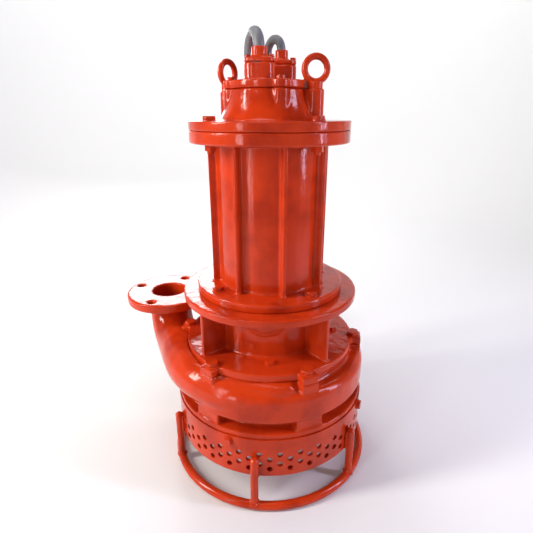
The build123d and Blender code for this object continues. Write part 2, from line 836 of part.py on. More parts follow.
# Casing bolts through the bracket's lugs into the columns
casing_bolt_shape = hex_bolt(m14, casing_bolt_l)
with BuildPart() as casing_bolts:
    with Locations((0, 0, plate_top)):
        with PolarLocations(casing_bolt_circle, column_count, column_azimuth):
            add(casing_bolt_shape)
casing_bolts.part.label = "casing_bolts"
export_step(casing_bolts.part, "parts/casing_bolts.step")

# Liner bolts through the plate into the rear liner
liner_bolt_shape = hex_bolt(m10, liner_bolt_l)
with BuildPart() as liner_bolts:
    with Locations((0, 0, plate_top)):
        with PolarLocations(liner_bolt_circle, liner_bolt_count, liner_bolt_azimuth):
            add(liner_bolt_shape)
liner_bolts.part.label = "liner_bolts"
export_step(liner_bolts.part, "parts/liner_bolts.step")

# Shaft seals: a lapped pair at each end of the oil chamber
lower_seat_bottom = plate_top - seal_seat_t
upper_seat_top = chamber_roof + seal_seat_t
lower_head_bottom = plate_top + seal_gap
lower_head_top = lower_head_bottom + seal_head_l
upper_head_top = chamber_roof - seal_gap
upper_head_bottom = upper_head_top - seal_head_l
with BuildPart() as lower_seal_seat:
    add(tube(seal_shaft_r + seal_seat_gap, seal_seat_radius - seat_gap, lower_seat_bottom, plate_top))
lower_seal_seat.part.label = "lower_seal_seat"
export_step(lower_seal_seat.part, "parts/lower_seal_seat.step")

with BuildPart() as upper_seal_seat:
    add(tube(seal_shaft_r + seal_seat_gap, seal_seat_radius - seat_gap, chamber_roof, upper_seat_top))
upper_seal_seat.part.label = "upper_seal_seat"
export_step(upper_seal_seat.part, "parts/upper_seal_seat.step")

with BuildPart() as lower_seal_head:
    add(
        revolved(
            (seal_shaft_r + seat_gap, lower_head_bottom),
            (seal_head_radius - seal_nose_inset, lower_head_bottom),
            (seal_head_radius, lower_head_bottom + seal_nose_h),
            (seal_head_radius, lower_head_top),
            (seal_shaft_r + seat_gap, lower_head_top),
        )
    )
lower_seal_head.part.label = "lower_seal_head"
export_step(lower_seal_head.part, "parts/lower_seal_head.step")

with BuildPart() as upper_seal_head:
    add(
        revolved(
            (seal_shaft_r + seat_gap, upper_head_bottom),
            (seal_head_radius, upper_head_bottom),
            (seal_head_radius, upper_head_top - seal_nose_h),
            (seal_head_radius - seal_nose_inset, upper_head_top),
            (seal_shaft_r + seat_gap, upper_head_top),
        )
    )
upper_seal_head.part.label = "upper_seal_head"
export_step(upper_seal_head.part, "parts/upper_seal_head.step")

with BuildPart() as seal_collar:
    add(tube(seal_shaft_r + seat_gap, seal_collar_radius, lower_head_top, upper_head_bottom))
seal_collar.part.label = "seal_collar"
export_step(seal_collar.part, "parts/seal_collar.step")


def bearing(bore_r, outer_r, bottom, width):
    """Deep-groove ball bearing: inner ring, outer ring, and balls in their cage."""
    pitch_r = (bore_r + outer_r) / 2
    ball_r = (outer_r - bore_r) * ball_share
    land = ball_r * land_share
    centre = bottom + width / 2
    middle = (0, 0, centre)
    with BuildPart() as inner:
        add(tube(bore_r + seat_gap, pitch_r - land, bottom, bottom + width))
        with Locations(middle):
            Torus(pitch_r, ball_r + ball_gap, mode=Mode.SUBTRACT)
    with BuildPart() as outer:
        add(tube(pitch_r + land, outer_r, bottom, bottom + width))
        with Locations(middle):
            Torus(pitch_r, ball_r + ball_gap, mode=Mode.SUBTRACT)
    with BuildPart() as balls:
        with Locations(middle):
            with PolarLocations(pitch_r, bearing_balls):
                Sphere(ball_r)
    with BuildPart() as cage:
        half_t = ball_r * cage_half_t
        half_h = ball_r * cage_half_h
        add(tube(pitch_r - half_t, pitch_r + half_t, centre - half_h, centre + half_h))
        with Locations(middle):
            with PolarLocations(pitch_r, bearing_balls):
                Cylinder(ball_r + ball_gap, 4 * half_t, rotation=(0, 90, 0), mode=Mode.SUBTRACT)
    return inner.part, outer.part, balls.part, cage.part


# Lower bearing in the bracket's upper disc
lower_rings = bearing(lower_bearing_bore_r, lower_bearing_radius, lower_bearing_bottom, lower_bearing_w)
with BuildPart() as lower_bearing_inner:
    add(lower_rings[0])
lower_bearing_inner.part.label = "lower_bearing_inner"
export_step(lower_bearing_inner.part, "parts/lower_bearing_inner.step")

with BuildPart() as lower_bearing_outer:
    add(lower_rings[1])
lower_bearing_outer.part.label = "lower_bearing_outer"
export_step(lower_bearing_outer.part, "parts/lower_bearing_outer.step")

with BuildPart() as lower_bearing_balls:
    add(lower_rings[2])
    add(lower_rings[3])
lower_bearing_balls.part.label = "lower_bearing_balls"
export_step(lower_bearing_balls.part, "parts/lower_bearing_balls.step")

# Upper bearing in the top cover's hub
upper_rings = bearing(upper_bearing_bore_r, upper_bearing_radius, motor_top, upper_bearing_w)
with BuildPart() as upper_bearing_inner:
    add(upper_rings[0])
upper_bearing_inner.part.label = "upper_bearing_inner"
export_step(upper_bearing_inner.part, "parts/upper_bearing_inner.step")

with BuildPart() as upper_bearing_outer:
    add(upper_rings[1])
upper_bearing_outer.part.label = "upper_bearing_outer"
export_step(upper_bearing_outer.part, "parts/upper_bearing_outer.step")

with BuildPart() as upper_bearing_balls:
    add(upper_rings[2])
    add(upper_rings[3])
upper_bearing_balls.part.label = "upper_bearing_balls"
export_step(upper_bearing_balls.part, "parts/upper_bearing_balls.step")

# Lower bearing cap, screwed down on the bracket inside the motor
cap_bore = rotor_seat_r + cap_gap
lower_cap_radius = lower_bearing_radius + cap_overlap
with BuildPart() as lower_bearing_cap:
    add(tube(cap_bore, lower_cap_radius, bracket_top, bracket_top + cap_t))
    with Locations((0, 0, bracket_top)):
        Cylinder(
            lower_bearing_radius - cap_recess_overlap,
            cap_recess,
            align=(Align.CENTER, Align.CENTER, Align.MIN),
            mode=Mode.SUBTRACT,
        )
    with BuildSketch(Plane.XY.offset(bracket_top)):
        with PolarLocations(cap_screw_circle, cap_screw_count, cap_screw_azimuth):
            Circle(m8[0] / 2 + hole_gap)
    extrude(amount=cap_t, mode=Mode.SUBTRACT)
lower_bearing_cap.part.label = "lower_bearing_cap"
export_step(lower_bearing_cap.part, "parts/lower_bearing_cap.step")

lower_cap_screw_shape = hex_bolt(m8, cap_screw_l)
with BuildPart() as lower_cap_screws:
    with Locations((0, 0, bracket_top + cap_t)):
        with PolarLocations(cap_screw_circle, cap_screw_count, cap_screw_azimuth):
            add(lower_cap_screw_shape)
lower_cap_screws.part.label = "lower_cap_screws"
export_step(lower_cap_screws.part, "parts/lower_cap_screws.step")

# Upper bearing cap, screwed up against the top cover's hub
upper_cap_radius = upper_bearing_radius + cap_overlap
upper_cap_circle = upper_bearing_radius + cap_screw_offset
upper_screw_l = cap_t + upper_screw_grip
with BuildPart() as upper_bearing_cap:
    add(tube(shaft_shoulder_r + cap_gap, upper_cap_radius, motor_top - cap_t, motor_top))
    with Locations((0, 0, motor_top)):
        Cylinder(
            upper_bearing_radius - cap_recess_overlap,
            cap_recess,
            align=(Align.CENTER, Align.CENTER, Align.MAX),
            mode=Mode.SUBTRACT,
        )
    with BuildSketch(Plane.XY.offset(motor_top)):
        with PolarLocations(upper_cap_circle, cap_screw_count, cap_screw_azimuth):
            Circle(m6[0] / 2 + hole_gap)
    extrude(amount=-cap_t, mode=Mode.SUBTRACT)
upper_bearing_cap.part.label = "upper_bearing_cap"
export_step(upper_bearing_cap.part, "parts/upper_bearing_cap.step")

upper_cap_screw_shape = hex_bolt(m6, upper_screw_l)
with BuildPart() as upper_cap_screws:
    with Locations((0, 0, motor_top - cap_t)):
        with PolarLocations(upper_cap_circle, cap_screw_count, cap_screw_azimuth):
            add(upper_cap_screw_shape, rotation=(180, 0, 0))
upper_cap_screws.part.label = "upper_cap_screws"
export_step(upper_cap_screws.part, "parts/upper_cap_screws.step")

# Shaft: stepped from the agitator's thread up to the upper bearing
shaft_bottom = agitator_bottom - agitator_nut_h - shaft_end_drop
shaft_top = upper_bearing_top + shaft_end_rise
with BuildPart() as shaft:
    add(
        revolved(
            (0, shaft_bottom),
            (impeller_seat_r - shaft_end_chamfer, shaft_bottom),
            (impeller_seat_r, shaft_bottom + shaft_end_chamfer),
            (impeller_seat_r, impeller_top),
            (seal_shaft_r, impeller_top),
            (seal_shaft_r, bearing_shoulder),
            (lower_bearing_bore_r, bearing_shoulder),
            (lower_bearing_bore_r, bracket_top),
            (rotor_seat_r, bracket_top),
            (rotor_seat_r, core_top + winding_h),
            (shaft_shoulder_r, core_top + winding_h),
            (shaft_shoulder_r, motor_top),
            (upper_bearing_bore_r, motor_top),
            (upper_bearing_bore_r, shaft_top),
            (0, shaft_top),
        )
    )
    with Locations((impeller_seat_r, 0, impeller_top - impeller_key_l / 2 - impeller_back_t)):
        Box(impeller_key_h, impeller_key_w + seat_gap, impeller_key_l + seat_gap, mode=Mode.SUBTRACT)
shaft.part.label = "shaft"
export_step(shaft.part, "parts/shaft.step")

# Rotor core shrunk on the shaft
with BuildPart() as rotor_core:
    add(tube(rotor_seat_r + seat_gap, rotor_radius, core_bottom, core_top))
    end_ring_r = rotor_radius - end_ring_inset
    add(tube(end_ring_r - end_ring_w, end_ring_r, core_bottom - end_ring_h, core_top + end_ring_h))
rotor_core.part.label = "rotor_core"
export_step(rotor_core.part, "parts/rotor_core.step")

# Stator core pressed in the barrel
barrel_bore_r = barrel_radius - barrel_wall
with BuildPart() as stator_core:
    add(tube(rotor_radius + air_gap, barrel_bore_r - seat_gap, core_bottom, core_top))
stator_core.part.label = "stator_core"
export_step(stator_core.part, "parts/stator_core.step")

# Stator windings: the end turns at both ends of the core
winding_inner = rotor_radius + winding_inset
winding_outer = barrel_bore_r - winding_inset
with BuildPart() as stator_windings:
    for start, height in ((core_bottom, -winding_h), (core_top, winding_h)):
        with BuildSketch(Plane.XZ):
            with BuildLine():
                FilletPolyline(
                    (winding_inner, start),
                    (winding_outer, start),
                    (winding_outer, start + height),
                    (winding_inner, start + height),
                    radius=(0, 0, winding_fillet, winding_fillet),
                    close=True,
                )
            make_face()
        revolve(axis=Axis.Z)
stator_windings.part.label = "stator_windings"
export_step(stator_windings.part, "parts/stator_windings.step")

# Motor frame: ribbed barrel between two flanges
with BuildPart() as motor_frame:
    with BuildSketch(Plane.XZ):
        with BuildLine():
            FilletPolyline(
                (barrel_bore_r, bracket_top),
                (motor_flange_radius, bracket_top),
                (motor_flange_radius, barrel_bottom),
                (barrel_radius, barrel_bottom),
                (barrel_radius, barrel_top),
                (motor_flange_radius, barrel_top),
                (motor_flange_radius, motor_top),
                (barrel_bore_r, motor_top),
                radius=(0, 0, flange_fillet, barrel_fillet, barrel_fillet, flange_fillet, 0, 0),
                close=True,
            )
        make_face()
    revolve(axis=Axis.Z)
    with PolarLocations(0, barrel_ribs, barrel_rib_azimuth):
        with Locations((barrel_rib_radius, 0, barrel_bottom)):
            Box(
                barrel_rib_radius - barrel_radius + barrel_wall / 2,
                barrel_rib_t,
                barrel_h,
                align=(Align.MAX, Align.CENTER, Align.MIN),
            )
    with BuildSketch(Plane.XY.offset(bracket_top)):
        with PolarLocations(frame_bolt_circle, motor_bolt_count, motor_bolt_azimuth):
            Circle(m12[0] / 2 + hole_gap)
    extrude(amount=motor_foot_t, mode=Mode.SUBTRACT)
    with BuildSketch(Plane.XY.offset(motor_top)):
        with PolarLocations(cover_bolt_circle, motor_bolt_count, motor_bolt_azimuth):
            Circle(m12[0] / 2 + hole_gap)
    extrude(amount=-motor_head_t, mode=Mode.SUBTRACT)
motor_frame.part.label = "motor_frame"
export_step(motor_frame.part, "parts/motor_frame.step")

# Frame bolts, motor to bracket
frame_bolt_shape = hex_bolt(m12, frame_bolt_l)
with BuildPart() as frame_bolts:
    with Locations((0, 0, barrel_bottom)):
        with PolarLocations(frame_bolt_circle, motor_bolt_count, motor_bolt_azimuth):
            add(frame_bolt_shape)
frame_bolts.part.label = "frame_bolts"
export_step(frame_bolts.part, "parts/frame_bolts.step")

# Top cover: bearing hub, bell over it, lid bosses and two posts for the lifting eyes
upper_relief_r = (upper_bearing_bore_r + upper_bearing_radius) / 2
lid_bolt_l = lid_t + lid_bolt_grip
eye_seat = cover_top + post_h
with BuildPart() as top_cover:
    with BuildSketch(Plane.XZ):
        with BuildLine():
            Polyline(
                (0, bell_top - terminal_depth),
                (0, bell_top - terminal_depth - bearing_roof_t),
                (upper_relief_r, bell_top - terminal_depth - bearing_roof_t),
                (upper_relief_r, upper_bearing_top),
                (upper_bearing_radius + seat_gap, upper_bearing_top),
                (upper_bearing_radius + seat_gap, motor_top),
                (motor_flange_radius, motor_top),
                (motor_flange_radius, cover_top),
                (bell_foot_radius, cover_top),
            )
            ThreePointArc(
                (bell_foot_radius, cover_top),
                (bell_waist_radius, cover_top + bell_waist_h),
                (bell_radius, bell_top),
            )
            Polyline(
                (bell_radius, bell_top),
                (terminal_radius, bell_top),
                (terminal_radius, bell_top - terminal_depth),
                (0, bell_top - terminal_depth),
            )
        make_face()
    revolve(axis=Axis.Z)
    with BuildSketch(Plane.XY.offset(cover_top)):
        with PolarLocations(post_circle, 2, post_azimuth):
            Circle(post_d / 2)
    extrude(amount=post_h)
    with BuildSketch(Plane.XY.offset(bell_top)):
        with PolarLocations(lid_bolt_circle, lid_bolt_count, lid_bolt_azimuth):
            Circle(lid_lug_d / 2)
    extrude(amount=-boss_drop)
    with BuildSketch(Plane.XY.offset(bell_top)):
        with PolarLocations(lid_bolt_circle, lid_bolt_count, lid_bolt_azimuth):
            Circle(m8[0] / 2 + seat_gap)
    extrude(amount=-(lid_bolt_l - lid_t + tap_spare), mode=Mode.SUBTRACT)
    with BuildSketch(Plane.XY.offset(eye_seat)):
        with PolarLocations(post_circle, 2, post_azimuth):
            Circle(eye_shank_d / 2 + seat_gap)
    extrude(amount=-(eye_shank_l + tap_spare), mode=Mode.SUBTRACT)
    with BuildSketch(Plane.XY.offset(motor_top)):
        with PolarLocations(cover_bolt_circle, motor_bolt_count, motor_bolt_azimuth):
            Circle(m12[0] / 2 + hole_gap)
    extrude(amount=cover_t, mode=Mode.SUBTRACT)
    with BuildSketch(Plane.XY.offset(motor_top)):
        with PolarLocations(upper_cap_circle, cap_screw_count, cap_screw_azimuth):
            Circle(m6[0] / 2 + seat_gap)
    extrude(amount=upper_screw_l - cap_t + tap_spare, mode=Mode.SUBTRACT)
top_cover.part.label = "top_cover"
export_step(top_cover.part, "parts/top_cover.step")

# Cover bolts down through both flanges, with nuts under the motor's
cover_bolt_l = cover_t + motor_head_t + cover_nut_h + cover_bolt_proud
cover_bolt_shape = hex_bolt(m12, cover_bolt_l)
with BuildPart() as cover_bolts:
    with Locations((0, 0, cover_top)):
        with PolarLocations(cover_bolt_circle, motor_bolt_count, motor_bolt_azimuth):
            add(cover_bolt_shape)
cover_bolts.part.label = "cover_bolts"
export_step(cover_bolts.part, "parts/cover_bolts.step")

with BuildPart() as cover_nuts:
    with BuildSketch(Plane.XY.offset(barrel_top)):
        with PolarLocations(cover_bolt_circle, motor_bolt_count, motor_bolt_azimuth):
            RegularPolygon(m12[1] / 2, 6, major_radius=False)
            Circle(m12[0] / 2 + seat_gap, mode=Mode.SUBTRACT)
    extrude(amount=-cover_nut_h)
cover_nuts.part.label = "cover_nuts"
export_step(cover_nuts.part, "parts/cover_nuts.step")

# Lifting eyes screwed in the posts
eye_bar_r = (eye_outer_d - eye_inner_d) / 4
eye_ring_r = (eye_outer_d + eye_inner_d) / 4
eye_centre = eye_seat + eye_collar_h + eye_outer_d / 2 - eye_bar_r
with BuildPart() as lifting_eyes:
    for turn, azimuth in zip(eye_turns, (post_azimuth, post_azimuth + 180)):
        place = on_circle(post_circle, azimuth)
        with BuildSketch(Plane.XY.offset(eye_seat)):
            with Locations((place.X, place.Y)):
                Circle(eye_collar_d / 2)
        extrude(amount=eye_collar_h)
        with BuildSketch(Plane.XY.offset(eye_seat)):
            with Locations((place.X, place.Y)):
                Circle(eye_shank_d / 2)
        extrude(amount=-eye_shank_l)
        with Locations(Location((place.X, place.Y, eye_centre), (90, turn, 0))):
            Torus(eye_ring_r, eye_bar_r)
lifting_eyes.part.label = "lifting_eyes"
export_step(lifting_eyes.part, "parts/lifting_eyes.step")

# Terminal cover: round lid with lugs, cut back round the lifting eyes, and two oval gland turrets
eye_drop = max(eye_centre - lid_top, 0)
eye_reach = sqrt(max((eye_outer_d / 2) ** 2 - eye_drop**2, (post_d / 2) ** 2))
gland_bolt_l = gland_plate_t + gland_bolt_grip
with BuildPart() as terminal_cover:
    with BuildSketch(Plane.XY.offset(bell_top)):
        Circle(lid_radius)
        with PolarLocations(lid_bolt_circle, lid_bolt_count, lid_bolt_azimuth):
            Circle(lid_lug_d / 2)
    extrude(amount=lid_t)
    with BuildSketch(Plane.XY.offset(bell_top)):
        with PolarLocations(post_circle, 2, post_azimuth):
            Circle(eye_reach + weld_gap)
    extrude(amount=lid_t, mode=Mode.SUBTRACT)
    for place, turn in zip(gland_places, gland_turns):
        with BuildSketch(Plane.XY.offset(lid_top)):
            with Locations(Location(place, turn)):
                SlotOverall(turret_l, turret_w)
        extrude(amount=turret_h)
    with BuildSketch(Plane.XY.offset(bell_top)):
        Circle(terminal_radius - lid_land)
    extrude(amount=lid_t / 2, mode=Mode.SUBTRACT)
    for place, cable_d in zip(gland_places, cable_diameters):
        with BuildSketch(Plane.XY.offset(bell_top)):
            with Locations(place):
                Circle(cable_d / 2 + weld_gap)
        extrude(amount=lid_t + turret_h, mode=Mode.SUBTRACT)
        with BuildSketch(Plane.XY.offset(turret_top)):
            with Locations(place):
                Circle(cable_d / 2 + turret_wall)
        extrude(amount=-grommet_h, mode=Mode.SUBTRACT)
    with BuildSketch(Plane.XY.offset(bell_top)):
        with PolarLocations(lid_bolt_circle, lid_bolt_count, lid_bolt_azimuth):
            Circle(m8[0] / 2 + hole_gap)
    extrude(amount=lid_t, mode=Mode.SUBTRACT)
    for place, turn in zip(gland_places, gland_turns):
        with BuildSketch(Plane.XY.offset(turret_top)):
            with Locations(Location(place, turn)):
                with GridLocations(gland_bolt_spacing, 0, 2, 1):
                    Circle(m6[0] / 2 + seat_gap)
        extrude(amount=-(gland_bolt_l - gland_plate_t + tap_spare), mode=Mode.SUBTRACT)
terminal_cover.part.label = "terminal_cover"
export_step(terminal_cover.part, "parts/terminal_cover.step")

# Lid bolts
lid_bolt_shape = hex_bolt(m8, lid_bolt_l)
with BuildPart() as lid_bolts:
    with Locations((0, 0, lid_top)):
        with PolarLocations(lid_bolt_circle, lid_bolt_count, lid_bolt_azimuth):
            add(lid_bolt_shape)
lid_bolts.part.label = "lid_bolts"
export_step(lid_bolts.part, "parts/lid_bolts.step")

# Terminal block on the floor of the terminal chamber
with BuildPart() as terminal_block:
    with BuildSketch(Plane.XY.offset(bell_top - terminal_depth)):
        RectangleRounded(block_l, block_w, block_corner)
    extrude(amount=block_h)
    with BuildSketch(Plane.XY.offset(bell_top - terminal_depth + block_h)):
        with GridLocations(block_l / 3, block_w / 2, 3, 2):
            Circle(stud_d / 2)
    extrude(amount=stud_h)
terminal_block.part.label = "terminal_block"
export_step(terminal_block.part, "parts/terminal_block.step")

# Rubber grommets, squeezed round the cables by the gland plates
with BuildPart() as gland_grommets:
    with BuildSketch(Plane.XY.offset(turret_top)):
        for place, cable_d in zip(gland_places, cable_diameters):
            with Locations(place):
                Circle(cable_d / 2 + turret_wall - seat_gap)
                Circle(cable_d / 2 + seat_gap, mode=Mode.SUBTRACT)
    extrude(amount=-grommet_h)
gland_grommets.part.label = "gland_grommets"
export_step(gland_grommets.part, "parts/gland_grommets.step")

# Gland plates: oval flanges with a short neck round each cable
with BuildPart() as gland_plates:
    for place, turn, cable_d in zip(gland_places, gland_turns, cable_diameters):
        with BuildSketch(Plane.XY.offset(turret_top)):
            with Locations(Location(place, turn)):
                SlotOverall(turret_l, turret_w - gland_plate_inset)
                with GridLocations(gland_bolt_spacing, 0, 2, 1):
                    Circle(m6[0] / 2 + hole_gap, mode=Mode.SUBTRACT)
        extrude(amount=gland_plate_t)
        with BuildSketch(Plane.XY.offset(turret_top + gland_plate_t)):
            with Locations(place):
                Circle(cable_d / 2 + gland_neck_wall)
        extrude(amount=gland_neck_h)
        with BuildSketch(Plane.XY.offset(turret_top)):
            with Locations(place):
                Circle(cable_d / 2 + weld_gap)
        extrude(amount=gland_plate_t + gland_neck_h, mode=Mode.SUBTRACT)
gland_plates.part.label = "gland_plates"
export_step(gland_plates.part, "parts/gland_plates.step")

# Gland bolts, a pair on each gland
gland_bolt_shape = hex_bolt(m6, gland_bolt_l)
with BuildPart() as gland_bolts:
    for place, turn in zip(gland_places, gland_turns):
        with Locations(Location((place[0], place[1], turret_top + gland_plate_t), turn)):
            with GridLocations(gland_bolt_spacing, 0, 2, 1):
                add(gland_bolt_shape)
gland_bolts.part.label = "gland_bolts"
export_step(gland_bolts.part, "parts/gland_bolts.step")

# Cables: tubes of straight runs and tangent arcs, laid along the chosen routes
def cable_tube(route, diameter):
    """Round tube along a route, each corner as round as its runs allow."""
    radii = []
    for before, corner, after in zip(route, route[1:], route[2:]):
        arriving = Vector(corner) - Vector(before)
        leaving = Vector(after) - Vector(corner)
        half_turn = radians(arriving.get_angle(leaving)) / 2
        radii.append(0.45 * min(arriving.length, leaving.length) / tan(half_turn))
    with BuildPart() as cable:
        with BuildLine() as path:
            FilletPolyline(*route, radius=radii)
        with BuildSketch(Plane(origin=path.wire() @ 0, z_dir=path.wire() % 0)):
            Circle(diameter / 2)
        sweep()
    length = path.wire().length
    share = cable.part.volume / (pi * diameter**2 / 4 * length)
    print("radii", [round(radius) for radius in radii])
    print("length", round(length), "volume against section times length", round(share, 4))
    return cable.part


def cable_coil(which, floor):
    """Outer shape of a coil tied flat, with its end laid on top of the turns."""
    diameter = cable_diameters[which]
    inner = coil_mean_radius[which] - coil_columns[which] * diameter / 2
    outer = coil_mean_radius[which] + coil_columns[which] * diameter / 2
    top = floor + coil_layers * diameter
    centre = Vector(0, coil_centre_y, 0)
    axis = Axis(centre, (0, 0, 1))
    start = coil_end_azimuth[which] - (coil_end_arc if which else 0)
    with BuildPart() as coil:
        with BuildSketch(Plane(origin=centre, x_dir=(1, 0, 0), z_dir=(0, -1, 0))):
            with BuildLine():
                FilletPolyline(
                    (inner, floor),
                    (outer, floor),
                    (outer, top),
                    (inner, top),
                    radius=diameter * 0.45,
                    close=True,
                )
            make_face()
        revolve(axis=axis)
        with BuildSketch(Plane(origin=centre, x_dir=on_circle(1, start), z_dir=on_circle(1, start - 90))):
            with Locations((coil_end_radius[which], top + diameter / 2 - weld_gap)):
                Circle(diameter / 2)
        revolve(axis=axis, revolution_arc=coil_end_arc)
    return coil.part


def cable_cores(which, floor):
    """Stripped cores lying on the coil beyond the cable's end."""
    azimuth = coil_end_azimuth[which]
    top = floor + coil_layers * cable_diameters[which]
    heading = on_circle(1, azimuth + (90 if which else -90))
    lie = top + weld_gap + core_d / 2
    begin = on_circle(coil_end_radius[which], azimuth, lie) + Vector(0, coil_centre_y, 0) + heading * weld_gap
    with BuildPart() as cores:
        with BuildSketch(Plane(origin=begin, x_dir=on_circle(1, azimuth), z_dir=heading)):
            with GridLocations(core_d + weld_gap, 0, core_count, 1):
                Circle(core_d / 2)
        extrude(amount=core_l)
    return cores.part


control_floor = coil_layers * cable_diameters[0] + weld_gap
with BuildPart() as power_cable:
    add(cable_tube(power_route, cable_diameters[0]))
power_cable.part.label = "power_cable"
export_step(power_cable.part, "parts/power_cable.step")

with BuildPart() as power_cable_coil:
    add(cable_coil(0, 0))
power_cable_coil.part.label = "power_cable_coil"
export_step(power_cable_coil.part, "parts/power_cable_coil.step")

with BuildPart() as power_cable_cores:
    add(cable_cores(0, 0))
power_cable_cores.part.label = "power_cable_cores"
export_step(power_cable_cores.part, "parts/power_cable_cores.step")

with BuildPart() as control_cable:
    add(cable_tube(control_route, cable_diameters[1]))
control_cable.part.label = "control_cable"
export_step(control_cable.part, "parts/control_cable.step")

with BuildPart() as control_cable_coil:
    add(cable_coil(1, control_floor))
control_cable_coil.part.label = "control_cable_coil"
export_step(control_cable_coil.part, "parts/control_cable_coil.step")

with BuildPart() as control_cable_cores:
    add(cable_cores(1, control_floor))
control_cable_cores.part.label = "control_cable_cores"
export_step(control_cable_cores.part, "parts/control_cable_cores.step")

# Cable tails: the lead ends held in the grommets, down into the terminal chamber
with BuildPart() as cable_tails:
    for route, cable_d in zip((power_route, control_route), cable_diameters):
        with BuildSketch(Plane.XY.offset(bell_top)):
            with Locations(route[0][:2]):
                Circle(cable_d / 2)
        extrude(amount=route[0][2] - bell_top)
cable_tails.part.label = "cable_tails"
export_step(cable_tails.part, "parts/cable_tails.step")
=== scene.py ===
import json
import math
import random

import bmesh
import bpy
from bpy.props import FloatProperty, FloatVectorProperty, IntProperty, PointerProperty
from mathutils import Matrix, Vector


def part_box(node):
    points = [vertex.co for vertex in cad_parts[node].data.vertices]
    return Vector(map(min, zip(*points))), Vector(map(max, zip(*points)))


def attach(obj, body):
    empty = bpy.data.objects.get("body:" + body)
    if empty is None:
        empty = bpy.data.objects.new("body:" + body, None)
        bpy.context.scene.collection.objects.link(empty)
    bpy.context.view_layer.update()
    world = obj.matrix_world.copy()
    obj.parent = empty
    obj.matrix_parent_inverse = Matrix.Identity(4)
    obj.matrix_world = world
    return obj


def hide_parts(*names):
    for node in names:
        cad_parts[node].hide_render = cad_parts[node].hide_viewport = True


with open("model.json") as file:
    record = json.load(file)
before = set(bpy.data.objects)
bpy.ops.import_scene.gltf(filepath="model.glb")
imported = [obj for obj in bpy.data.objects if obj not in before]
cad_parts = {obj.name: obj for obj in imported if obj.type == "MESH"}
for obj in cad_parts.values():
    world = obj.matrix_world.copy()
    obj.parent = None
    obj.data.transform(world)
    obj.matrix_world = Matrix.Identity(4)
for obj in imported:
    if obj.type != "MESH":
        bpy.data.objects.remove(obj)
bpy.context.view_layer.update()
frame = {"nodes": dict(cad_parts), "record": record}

bl_info = {
    "name": "Slurry Pump Dressing",
    "version": (1, 0, 0),
    "blender": (4, 5, 0),
    "location": "View3D > Sidebar > Pump",
    "description": "Paint, fasteners, welds, leads and studio for a submersible slurry pump",
    "category": "Object",
}

STATIC = "pump"

# Leads: the routes from the glands down to the floor, in metres
POWER_ROUTE = (
    (-0.018, -0.040, 0.847),
    (-0.018, -0.040, 0.8714),
    (-0.0237, -0.0238, 0.889),
    (-0.0322, 0.0002, 0.889),
    (-0.0379, 0.0161, 0.8714),
    (-0.0385, 0.027, 0.851),
    (-0.038, 0.049, 0.840),
    (-0.037, 0.086, 0.827),
    (-0.036, 0.132, 0.801),
    (-0.036, 0.178, 0.759),
    (-0.037, 0.209, 0.704),
    (-0.038, 0.224, 0.642),
    (-0.041, 0.231, 0.576),
    (-0.047, 0.236, 0.508),
    (-0.056, 0.240, 0.440),
    (-0.067, 0.245, 0.372),
    (-0.080, 0.251, 0.306),
    (-0.095, 0.258, 0.242),
    (-0.111, 0.265, 0.180),
    (-0.127, 0.274, 0.124),
    (-0.144, 0.290, 0.076),
    (-0.161, 0.316, 0.040),
    (-0.178, 0.351, 0.018),
    (-0.194, 0.393, 0.010),
    (-0.2066, 0.436, 0.010),
)
CONTROL_ROUTE = (
    (0.022, 0.008, 0.852),
    (0.022, 0.008, 0.870),
    (0.0144, 0.0185, 0.883),
    (0.0036, 0.0335, 0.883),
    (-0.004, 0.044, 0.870),
    (-0.003, 0.054, 0.854),
    (0.001, 0.074, 0.842),
    (0.007, 0.103, 0.827),
    (0.013, 0.141, 0.801),
    (0.019, 0.180, 0.760),
    (0.025, 0.209, 0.704),
    (0.030, 0.224, 0.642),
    (0.036, 0.231, 0.577),
    (0.043, 0.236, 0.510),
    (0.052, 0.241, 0.442),
    (0.063, 0.246, 0.376),
    (0.076, 0.252, 0.312),
    (0.091, 0.260, 0.250),
    (0.107, 0.271, 0.191),
    (0.124, 0.288, 0.138),
    (0.142, 0.315, 0.094),
    (0.158, 0.353, 0.066),
    (0.171, 0.398, 0.052),
    (0.180, 0.447, 0.0483),
)


def linear(code):
    """Linear RGB of an sRGB hex colour."""
    parts = [int(code[i : i + 2], 16) / 255 for i in (1, 3, 5)]
    return tuple(c / 12.92 if c <= 0.04045 else ((c + 0.055) / 1.055) ** 2.4 for c in parts)


class PumpColours(bpy.types.PropertyGroup):
    """Colours of the finishes."""

    enamel: FloatVectorProperty(
        name="Enamel", description="Gloss paint on the castings", subtype="COLOR",
        size=3, min=0, max=1, default=linear("#C43711"))
    enamel_deep: FloatVectorProperty(
        name="Enamel, thick", description="Paint where it has run and pooled", subtype="COLOR",
        size=3, min=0, max=1, default=linear("#9E260C"))
    sheath: FloatVectorProperty(
        name="Sheath", description="Rubber sheath of the leads", subtype="COLOR",
        size=3, min=0, max=1, default=linear("#6E6E73"))
    studio: FloatVectorProperty(
        name="Studio", description="Floor and backdrop", subtype="COLOR",
        size=3, min=0, max=1, default=linear("#E0E0E0"))


